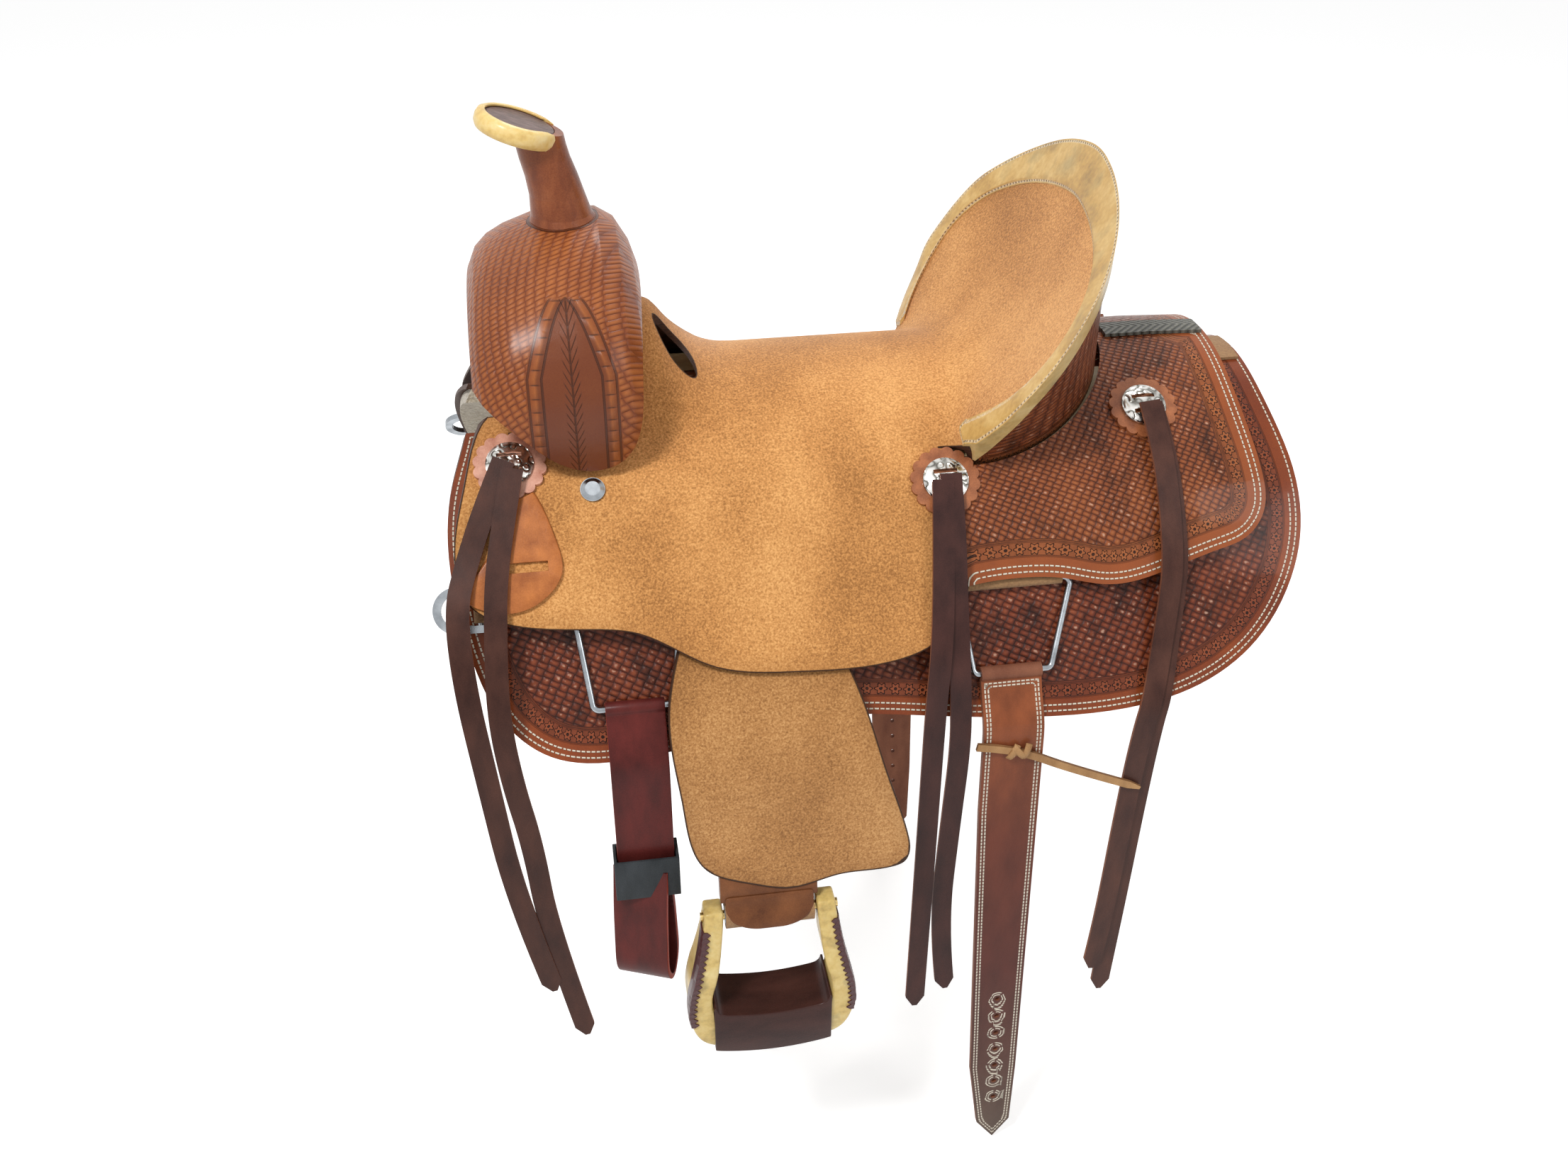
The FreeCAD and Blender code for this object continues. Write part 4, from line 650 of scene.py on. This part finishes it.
horn_rawhide = rawhide_finish("horn_rawhide", (0.52, 0.30, 0.075), (0.80, 0.56, 0.20), (0.93, 0.76, 0.42),
                              0.15)
coat(neck_leather, "horn_wrap")
coat(steel, "horn_core")
eased_copy("horn_cap", "horn_cap_leather", cap_leather, 0.0009)
eased_copy("horn_binding", "horn_cap_binding", horn_rawhide, 0.0009)


# ------------------------------ seat
# One large piece of rough-out hide, flesh side up, from the front jockeys to the cantle, pulled
# down over the ground seat.  Its cut edge is dyed and burnished dark.

def rough_out(name, deep, middle, pale, edge_width=0.0014):
    @finish(name, sheen_weight=0.25, sheen_roughness=0.5, specular_ior_level=0.15)
    def hide(tree):
        _, gap = laid(tree, "edge")
        nap = grain(tree, 560.0, 4.0)
        fine = grain(tree, 1500.0, 2.0)
        cloud = grain(tree, 9.0, 5.0, (1.0, 1.0, 0.7))
        shade = total(tree, (nap, 0.85), (fine, 0.45), (cloud, 0.75))
        colour = tones(tree, calc(tree, "SUBTRACT", shade, 0.52), (0.28, deep), (0.5, middle), (0.74, pale))
        burnish = clipped(tree, gap, -1 / (0.5 * edge_width), 2.0)
        # Painted shade: the hide is darkened within 16 mm of its edges.
        edge_shade = clipped(tree, gap, -1 / 0.016, 1.0)
        colour = mixed(tree, times(tree, edge_shade, 0.28), colour, deep)
        height = total(tree, (nap, 0.6), (fine, 0.4))
        return mixed(tree, burnish, colour, (0.045, 0.02, 0.010)), 0.9, [(height, 0.0007)]
    return hide


seat_hide = rough_out("seat_hide", (0.33, 0.140, 0.040), (0.60, 0.275, 0.084), (0.84, 0.45, 0.165))
dress("seat_leather", "rough_out_seat", seat_hide, spacing=0.010)


# ------------------------------ cantle
# The raised back of the seat.  Its rear is covered in the russet leather, and a rawhide binding
# is wetted, folded over the rim and sewn along its inner edge.

cantle_leather = tooled_leather("cantle_leather", (0.045, 0.012, 0.006), (0.18, 0.044, 0.015),
                                (0.36, 0.11, 0.036), (0.27, 0.070, 0.020), field_from=0.012,
                                rows=(-1.0, -1.0))
dress("cantle_back_cover", "cantle_back_leather", cantle_leather, spacing=0.008, upright=True)


@finish("binding_rawhide", coat_weight=0.25, coat_roughness=0.25, specular_ior_level=0.3)
def binding_rawhide(tree):
    along, gap = laid(tree, "edge")
    colour, shade, mottle = dried_hide(tree, grain(tree, 34.0, 6.0), 38.0, (0.40, 0.215, 0.062),
                                       (0.62, 0.385, 0.120), (0.84, 0.62, 0.27), 0.38,
                                       (0.155, 0.130, 0.070))
    rough_line = times(tree, line_at(tree, gap, 0.0022, 0.0014),
                       clipped(tree, grain(tree, 700.0, 3.0), 3.0, -0.7))
    step = repeat(tree, along, 0.0042)
    prick = times(tree, clipped(tree, dome(tree, step), 5.0, -3.9), line_at(tree, gap, 0.0022, 0.0009))
    colour = mixed(tree, times(tree, rough_line, 0.6), colour, (0.90, 0.82, 0.64))
    colour = mixed(tree, times(tree, prick, 0.8), colour, (0.16, 0.09, 0.04))
    height = total(tree, (shade, 0.8), (rough_line, -0.3), (prick, -0.8))
    return colour, total(tree, (mottle, 0.3), (1.0, 0.3)), [(height, 0.0009)]


cut_rawhide = rawhide_finish("cut_rawhide", (0.40, 0.25, 0.08), (0.64, 0.44, 0.17), (0.80, 0.62, 0.32), 0.5)
dress("cantle_binding", "rawhide_binding", binding_rawhide, edge=cut_rawhide, spacing=0.008)


# ------------------------------ rear jockeys and lacing
# The leathers behind the cantle, stamped like the skirts.
# They are sewn along their lower edge and laced together over the spine.

jockey_leather = tooled_leather("jockey_leather", (0.055, 0.014, 0.006), (0.24, 0.062, 0.020),
                                (0.45, 0.150, 0.048), (0.33, 0.085, 0.024), field_from=0.031,
                                long=0.0066, short=0.0047)


def outer_edge(place):
    """True on the jockey's lower and rear edges, which are sewn; the others are hidden or laced."""
    return place.x > 0.300 or (place.z < -0.050 and place.x > 0.075 and abs(place.y) > 0.125)


for side in ("near", "off"):
    dress("rear_jockey_" + side, "tooled_jockey_" + side, jockey_leather, bordered=outer_edge)


@finish("plaited_grey", sheen_weight=0.1)
def plaited_grey(tree):
    x, y, _ = position(tree)
    vee = calc(tree, "MULTIPLY_ADD", calc(tree, "ABSOLUTE", y), 1.1, x)
    strand = dome(tree, repeat(tree, vee, 0.0072))
    scuffs = grain(tree, 300.0, 4.0)
    shade = total(tree, (strand, 0.45), (scuffs, 0.6))
    colour = tones(tree, shade, (0.2, (0.018, 0.017, 0.013)), (0.6, (0.085, 0.085, 0.068)),
                   (0.95, (0.22, 0.21, 0.17)))
    return colour, 0.55, [(strand, 0.0015), (scuffs, 0.0003)]


coat(plaited_grey, "spine_lacing")


# ------------------------------ rosettes, conchos and screws
# Scalloped leather washers under chromed conchos, which hold the layers together with strings
# drawn through their slots, and a plain screw in the seat behind each front one.

@finish("carrier_leather", coat_weight=0.2, coat_roughness=0.2, specular_ior_level=0.15)
def carrier_leather(tree):
    cloud = grain(tree, 60.0, 4.0)
    pores = grain(tree, 900.0, 3.0)
    shade = total(tree, (cloud, 0.8), (pores, 0.3))
    colour = tones(tree, shade, (0.3, (0.26, 0.070, 0.018)), (0.75, (0.56, 0.190, 0.050)))
    return colour, 0.38, [(shade, 0.0004)]


@finish("rosette_leather", coat_weight=0.35, coat_roughness=0.16, specular_ior_level=0.3)
def rosette_leather(tree):
    cloud = grain(tree, 90.0, 4.0)
    pores = grain(tree, 900.0, 3.0)
    shade = total(tree, (cloud, 0.8), (pores, 0.3))
    brown = tones(tree, shade, (0.3, (0.17, 0.045, 0.015)), (0.75, (0.46, 0.16, 0.060)))
    # Painted glare: the front rosettes get a pale pink that stands for the light's glare on them; the others
    # keep the brown.
    painted_glare = tones(tree, shade, (0.3, (0.42, 0.155, 0.095)), (0.75, (0.78, 0.42, 0.30)))
    glare_front = clipped(tree, position(tree)[0], -20.0, -3.0)
    return mixed(tree, glare_front, brown, painted_glare), 0.4, [(shade, 0.0005)]


@finish("engraved_chrome", metallic=1.0)
def engraved_chrome(tree):
    scroll = add(tree, "TexVoronoi", {"Vector": add(tree, "TexCoord").outputs["Object"], "Scale": 150.0},
                 feature="SMOOTH_F1").outputs["Distance"]
    cuts = dome(tree, calc(tree, "FRACT", times(tree, scroll, 2.4)))
    # The colour runs in blotches from near black to bright: partly tarnish, partly painted dark and light
    # reflections.
    tarnish_and_reflections = grain(tree, 130.0, 4.0)
    colour = tones(tree, total(tree, (cuts, 0.5), (tarnish_and_reflections, 0.6)), (0.20, (0.07, 0.06, 0.05)),
                   (0.50, (0.34, 0.33, 0.30)), (0.85, (0.86, 0.84, 0.80)))
    return colour, 0.2, [(cuts, 0.0004)]


coat(rosette_leather, "rosettes")
coat(engraved_chrome, "conchos")
coat(steel, "seat_screws")


# ------------------------------ rigging dees, latigo and billets
# Steel dees hang from straps on the tree.  On the near side a long oiled latigo is folded up in
# its keeper; on the off side hangs the billet, and behind are the two rear cinch billets.

coat(steel, "front_dee_near", "front_dee_off", "rear_dee_near", "rear_dee_off", "breast_dee_near",
     "breast_dee_off")


def strap_leather(name, dark, light, rough=0.45):
    @finish(name, coat_weight=0.12, coat_roughness=0.25, specular_ior_level=0.12)
    def leather(tree):
        pull = grain(tree, 60.0, 5.0, (1.0, 1.0, 0.35))
        pores = grain(tree, 1100.0, 2.0)
        shade = total(tree, (pull, 0.8), (pores, 0.25))
        colour = tones(tree, shade, (0.3, dark), (0.8, light))
        return colour, total(tree, (pull, 0.25), (1.0, rough - 0.1)), [(shade, 0.0004)]
    return leather


burgundy = strap_leather("burgundy_latigo", (0.050, 0.009, 0.008), (0.150, 0.024, 0.020))
burgundy_edge = strap_leather("burgundy_edge", (0.24, 0.034, 0.022), (0.52, 0.085, 0.055), 0.7)
dark_edge = strap_leather("dark_strap_edge", (0.15, 0.050, 0.028), (0.31, 0.125, 0.070), 0.7)
charcoal = strap_leather("charcoal_keeper", (0.014, 0.017, 0.019), (0.055, 0.062, 0.068), 0.6)


@finish("billet_leather", coat_weight=0.15, coat_roughness=0.2, specular_ior_level=0.12)
def billet_leather(tree):
    along, gap = laid(tree, "edge")
    pull = grain(tree, 60.0, 5.0, (1.0, 1.0, 0.35))
    pores = grain(tree, 1100.0, 2.0)
    down = clipped(tree, position(tree)[2], -1 / 0.54, -0.2 / 0.54)
    colour = tones(tree, down, (0.0, (0.30, 0.085, 0.032)), (0.25, (0.155, 0.038, 0.020)),
                   (0.55, (0.105, 0.026, 0.018)), (0.8, (0.110, 0.046, 0.033)), (1.0, (0.125, 0.085, 0.062)))
    uneven = total(tree, (pull, 1.1), (pores, 0.3), (1.0, 0.12))
    colour = mixed(tree, times(tree, uneven, 1.0, clamp=True), (0.030, 0.008, 0.006), colour)
    thread = calc(tree, "ADD", stitch_row(tree, along, gap, 0.0030, 0.0040),
                  stitch_row(tree, along, gap, 0.0058, 0.0040), clamp=True)
    height = total(tree, (pull, 0.4), (pores, 0.2), (thread, 0.7))
    return mixed(tree, thread, colour, (0.74, 0.66, 0.54)), 0.42, [(height, 0.0007)]


def strap_copy(node, name, leather, edge):
    """A strap with eased corners and its cut sides in a lighter leather."""
    mesh = copy_of(node)
    for face in mesh.faces:
        face.material_index = int(abs(face.normal.x) > 0.8)
    round_over(mesh, 60.0, 0.0006, 2)
    crease_edges(mesh, 40.0)
    piece = piece_of(mesh, name, leather, edge)
    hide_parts(node)
    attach(piece, nodes[node]["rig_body"])


strap_copy("latigo", "latigo_hank", burgundy, burgundy_edge)
strap_copy("off_billet", "off_billet_strap", burgundy, burgundy_edge)
strap_copy("latigo_keeper", "latigo_keeper_band", charcoal, charcoal)
for side in ("near", "off"):
    dress("rear_billet_" + side, "rear_cinch_billet_" + side, billet_leather, edge=dark_edge,
                  spacing=0.012)


# ------------------------------ latigo carriers
# Bell-shaped tan leathers under the front conchos.  Each has a slot for the latigo's loose end,
# which is tucked in when the cinch isn't used.

eased_copy("latigo_carriers", "latigo_carrier_leathers", carrier_leather, 0.0007)


# ------------------------------ fenders and stirrup leathers
# Rough-out fenders hang over the stirrup leathers.  A leather band, the hobble strap, holds both
# plies together just above the stirrup.

fender_hide = rough_out("fender_hide", (0.25, 0.108, 0.033), (0.46, 0.215, 0.070), (0.68, 0.37, 0.145),
                        0.0018)
for side in ("near", "off"):
    dress("fender_" + side, "rough_out_fender_" + side, fender_hide, spacing=0.010)
    coat(flesh_side, "stirrup_leather_" + side)


@finish("hobble_leather", coat_weight=0.15, coat_roughness=0.2, specular_ior_level=0.12)
def hobble_leather(tree):
    cloud = grain(tree, 35.0, 4.0)
    shade = total(tree, (cloud, 0.8), (grain(tree, 900.0), 0.25))
    colour = tones(tree, shade, (0.3, (0.085, 0.028, 0.012)), (0.8, (0.26, 0.095, 0.034)))
    return colour, 0.42, [(shade, 0.0003)]


@finish("brass", metallic=1.0)
def brass(tree):
    wear = grain(tree, 300.0, 4.0)
    colour = tones(tree, wear, (0.3, (0.52, 0.36, 0.13)), (0.8, (0.80, 0.62, 0.28)))
    return colour, total(tree, (wear, 0.3), (1.0, 0.15)), [(wear, 0.0001)]


def shade_smooth(mesh):
    """Turns a made mesh's faces outwards and shades them smooth."""
    bmesh.ops.recalc_face_normals(mesh, faces=mesh.faces)
    for face in mesh.faces:
        face.smooth = True


def skin(mesh, rows, closed=False, leathers=1):
    """Faces between neighbouring rows of corners; closed rows make a tube with capped ends."""
    for first, second in zip(rows, rows[1:]):
        for k in range(len(first) if closed else len(first) - 1):
            after = (k + 1) % len(first)
            face = mesh.faces.new((first[k], first[after], second[after], second[k]))
            face.material_index = k % leathers
    for ring in (rows[0], rows[-1]) if closed else ():
        mesh.faces.new(ring).material_index = leathers - 1


def thicken(piece, wall):
    solid = piece.modifiers.new("thickness", "SOLIDIFY")
    solid.thickness = wall
    solid.offset = 0.0


def hobble_flap(side, sign):
    """The band's outer end, round below, that drapes over the fold of the stirrup leather.

    Each row is (rise above the bolt, lift off its plane, half width) in millimetres."""
    bolt_low, bolt_high = (Vector(corner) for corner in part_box("stirrup_bolt_" + side))
    bolt = (bolt_low + bolt_high) / 2
    cos, sin = 0.983, 0.184
    up, out = Vector((0, sin * sign, cos)), Vector((0, -cos * sign, -sin))
    rows = ((24.0, 8.1, 38.0), (19.0, 8.6, 38.0), (14.0, 9.4, 38.0), (9.0, 11.0, 37.0), (4.0, 12.9, 33.5),
            (0.0, 13.8, 27.0), (-3.0, 13.9, 18.0), (-4.0, 13.8, 8.0))
    mesh = bmesh.new()
    grid = [[mesh.verts.new(bolt + Vector((half * k / 6000, 0, 0)) + up * (rise / 1000) +
                            out * (lift / 1000)) for k in range(-6, 7)] for rise, lift, half in rows]
    skin(mesh, grid)
    shade_smooth(mesh)
    piece = piece_of(mesh, "hobble_flap_" + side, hobble_leather)
    thicken(piece, 0.0024)
    rounded = piece.modifiers.new("rounded", "SUBSURF")
    rounded.levels = rounded.render_levels = 2
    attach(piece, nodes["hobble_strap_" + side]["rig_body"])


for side, sign in both_sides:
    eased_copy("hobble_strap_" + side, "hobble_band_" + side, hobble_leather, 0.0008)
    hobble_flap(side, sign)
coat(brass, "leather_buckle_near", "leather_buckle_off", "stirrup_bolt_near", "stirrup_bolt_off")
coat(steel, "stirrup_roller_near", "stirrup_roller_off")


# ------------------------------ stirrups
# Wooden bells covered in rawhide, laced down the outside of both arms with a dark maroon thong,
# and a tread wrapped in smooth dark leather.

@finish("maroon_lace", coat_weight=0.3, coat_roughness=0.2, specular_ior_level=0.3)
def maroon_lace(tree):
    pores = grain(tree, 700.0, 3.0)
    colour = tones(tree, pores, (0.3, (0.035, 0.007, 0.008)), (0.8, (0.105, 0.024, 0.026)))
    return colour, 0.4, [(pores, 0.0003)]


@finish("tread_leather", coat_weight=0.2, coat_roughness=0.2, specular_ior_level=0.10)
def tread_leather(tree):
    pull = grain(tree, 50.0, 5.0, (0.4, 1.0, 1.0))
    pores = grain(tree, 1000.0, 2.0)
    shade = total(tree, (pull, 0.8), (pores, 0.25))
    colour = tones(tree, shade, (0.3, (0.022, 0.008, 0.007)), (0.8, (0.072, 0.026, 0.020)))
    return colour, 0.36, [(shade, 0.0004)]


def lacing(node, name, sign):
    """Flat thong sewn over and over down the front outer edge of both of the stirrup's arms."""
    bow = copy_of(node)
    surface = bvhtree.BVHTree.FromBMesh(bow)
    bow.free()
    low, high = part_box(node)
    centre, count, rise = (low[0] + high[0]) / 2, 40, 0.034
    mesh = bmesh.new()
    for hand in (-1, 1):
        rows = []
        for k in range(count):
            z = low[2] + rise + (high[2] - low[2] - 0.042) * k / (count - 1)
            corner = None
            for step in range(56):
                start = Vector((centre + hand * (0.030 + 0.0008 * step), -sign * 0.45, z))
                corner = surface.ray_cast(start, Vector((0, sign, 0)))[0] or corner
            if corner is None:
                continue
            row = []
            for deep in (0.0135, 0.0090, 0.0045):
                start = Vector((centre + hand * 0.2, corner.y + sign * deep, z))
                spot, normal, _, _ = surface.ray_cast(start, Vector((-hand, 0, 0)))
                if spot:
                    row.append(spot + normal * 0.0008)
            row.append(corner + Vector((hand, -sign, 0)) * 0.0004)
            tooth = 0.0062 if k % 2 else 0.0026
            row.append(corner + Vector((-hand * tooth, -sign * 0.0007, 0)))
            if len(row) == 5:
                rows.append([mesh.verts.new(place) for place in row])
        skin(mesh, rows)
    bmesh.ops.recalc_face_normals(mesh, faces=mesh.faces)
    piece = piece_of(mesh, name, maroon_lace)
    thicken(piece, 0.0012)
    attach(piece, nodes[node]["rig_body"])


stirrup_rawhide = rawhide_finish("stirrup_rawhide", (0.42, 0.27, 0.075), (0.70, 0.50, 0.170),
                                 (0.86, 0.70, 0.34), 0.6)
for side, sign in both_sides:
    eased_copy("stirrup_frame_" + side, "stirrup_bow_" + side, stirrup_rawhide, 0.0026)
    lacing("stirrup_frame_" + side, "stirrup_lacing_" + side, sign)
    eased_copy("stirrup_tread_" + side, "stirrup_tread_wrap_" + side, tread_leather, 0.0010)


# ------------------------------ saddle strings
# Long flat strings cut from latigo leather.  Each is drawn out of its concho's slot and hangs
# free, so that gear can be tied on.

def ribbon(name, route, wide, thick, leather, edge, tip=0.25):
    """A flat crisp-edged string along a smooth line through the route's control points."""
    curve = bpy.data.curves.new(name + "_route", "CURVE")
    curve.dimensions = "3D"
    curve.resolution_u = 8
    spline = curve.splines.new("NURBS")
    spline.points.add(len(route) - 1)
    for point, place in zip(spline.points, route):
        point.co = (*place, 1)
    spline.order_u = 3
    spline.use_endpoint_u = True
    route_object = bpy.data.objects.new(name + "_route", curve)
    line = [v.co.copy() for v in bpy.data.meshes.new_from_object(route_object).vertices]
    bpy.data.objects.remove(route_object)
    near_end = line[-1].lerp(line[-2], min(1.0, 0.012 / (line[-1] - line[-2]).length))
    mesh = bmesh.new()
    lengthwise = abs((line[1] - line[0]).normalized().x) >= 0.9
    rings, hint = [], Vector((0, 0, 1) if lengthwise else (1, 0, 0))
    for k, place in enumerate(line[:-1] + [near_end, line[-1]]):
        before, after = line[max(k - 1, 0)], line[min(k + 1, len(line) - 1)]
        tangent = ((after - before) if (after - before).length else (line[-1] - line[-2])).normalized()
        level = (hint - tangent * tangent.dot(hint)).normalized()
        out = tangent.cross(level)
        half = wide / 2 * (tip if k == len(line) else 1.0)
        rings.append([mesh.verts.new(place + level * half * a + out * thick / 2 * b)
                      for a, b in ((-1, -1), (1, -1), (1, 1), (-1, 1))])
        hint = level if abs(tangent.x) > 0.9 else hint
    skin(mesh, rings, closed=True, leathers=2)
    shade_smooth(mesh)
    crease_edges(mesh, 40.0)
    return piece_of(mesh, name, leather, edge), line


def at(x, y, z):
    return Vector((x, y, z)) / 1000


def on_back(x, station, lift, fall=0.0047):
    """Place in metres, from millimetres along the saddle, out from its spine and above the back."""
    angle = math.atan(2 * fall * station)
    return at(x, -station - lift * math.sin(angle), -fall * station ** 2 + lift * math.cos(angle))


string_routes = {
    "front": [
        [on_back(-302, 79, 52.0), on_back(-320, 103, 47.4), on_back(-338, 130, 44.2), at(-348, -191, -74),
         at(-346, -222, -125), at(-338, -234, -205), at(-327, -232, -348), at(-304, -230, -463)],
        [on_back(-296, 84, 52.0), on_back(-305, 108, 48.4), on_back(-315, 136, 47.0), at(-319, -199, -92),
         at(-323, -227, -150), at(-318, -234, -215), at(-308, -231, -287), at(-303, -229, -389),
         at(-279, -230, -525)]],
    "mid": [
        [on_back(50, 107, 51.9), on_back(46, 134, 47.2), on_back(40, 163, 49.2), at(36, -222.5, -133),
         at(33, -228, -178), at(32, -230, -228), at(32, -229, -359), at(31, -229, -542)],
        [on_back(57, 104, 51.9), on_back(56, 131, 47.8), on_back(52, 160, 47.6), at(52, -219, -136),
         at(54, -226, -178), at(56, -230, -226), at(53, -228, -315), at(49, -228, -440),
         at(60, -229, -523)]],
    "rear": [
        [on_back(236, 73, 55.5), on_back(240, 99, 52.0), on_back(241, 130, 46.2), on_back(240, 155, 41.6),
         on_back(238, 169, 32.1), on_back(232, 188, 24.8), at(221, -232.6, -196), at(215, -235.6, -225),
         at(211, -234.6, -305), at(207, -233.6, -461), at(202, -233.6, -515)],
        [on_back(239, 73, 51.9), on_back(244, 99, 48.4), on_back(246, 130, 42.6), on_back(246, 155, 38.0),
         on_back(244, 169, 28.5), on_back(239, 188, 21.2), at(230, -229, -196), at(225, -232, -225),
         at(222, -231, -305), at(219, -230, -440), at(215, -230, -549)]],
}
string_leather = {
    "front": strap_leather("front_string_leather", (0.030, 0.010, 0.007), (0.095, 0.036, 0.024)),
    "mid": strap_leather("mid_string_leather", (0.026, 0.010, 0.009), (0.080, 0.030, 0.024)),
    "rear": strap_leather("rear_string_leather", (0.036, 0.013, 0.010), (0.110, 0.044, 0.030)),
}

for place, pair in string_routes.items():
    for k, route in enumerate(pair):
        for side, sign in both_sides:
            turned = [Vector((p.x, sign * p.y, p.z)) for p in route]
            piece, line = ribbon("string_%s_%d_%s" % (place, k + 1, side), turned, 0.018, 0.003,
                                 string_leather[place], dark_edge)
            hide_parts("saddle_strings_" + place)
            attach(piece, "saddle")


# ------------------------------ billet thongs
# A tan lace drawn through the rear billet near its top and knotted on its face.
# The long end trails back past the strap.

thong_leather = strap_leather("thong_leather", (0.27, 0.135, 0.055), (0.62, 0.36, 0.16), 0.7)
# The lace's cut sides take a darker leather: painted shade on its sides.
thong_side_shade = strap_leather("thong_shadow", (0.13, 0.060, 0.026), (0.34, 0.17, 0.070), 0.7)


def knot(name, middle, sign, body, half_wide=0.0032, half_thick=0.0009):
    """Overhand knot of the lace: three flattened turns across the billet."""
    mesh = bmesh.new()
    for lean, lift, shift in ((0.5, 0.0011, -0.005), (-0.7, 0.0021, 0.000), (0.35, 0.0014, 0.006)):
        along = Vector((math.sin(lean), 0, math.cos(lean)))
        across = Vector((math.cos(lean), 0, -math.sin(lean)))
        rings = []
        for k in range(9):
            turn = (k - 4) / 4
            rise = lift + 0.0021 * (1 - turn * turn)
            place = middle + Vector((shift, 0, 0)) + along * (0.0078 * turn)
            rings.append([mesh.verts.new(place + across * (half_wide * a) +
                                         Vector((0, -sign * (rise + half_thick * b), 0)))
                          for a, b in ((-1, -1), (1, -1), (0.8, 0.4), (0, 0.9), (-0.8, 0.4))])
        skin(mesh, rings, closed=True)
    shade_smooth(mesh)
    piece = piece_of(mesh, name, thong_leather)
    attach(piece, body)
    return piece


billet_face = -0.23925
for side, sign in both_sides:
    node = "billet_thong_" + side
    route = [Vector((x / 1000, sign * (billet_face - lift / 1000), z / 1000))
             for x, lift, z in ((67.5, 0.1, -223), (102.5, 0.1, -229), (154.5, 0.5, -258), (219, -0.2, -287))]
    piece, line = ribbon("billet_lace_" + side, route, 0.007, 0.003, thong_leather, thong_side_shade, 0.4)
    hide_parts(node)
    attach(piece, nodes[node]["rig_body"])
    tied = knot("billet_knot_" + side, Vector((0.1045, sign * -0.2392, -0.2315)), sign,
                nodes[node]["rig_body"])
    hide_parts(node)
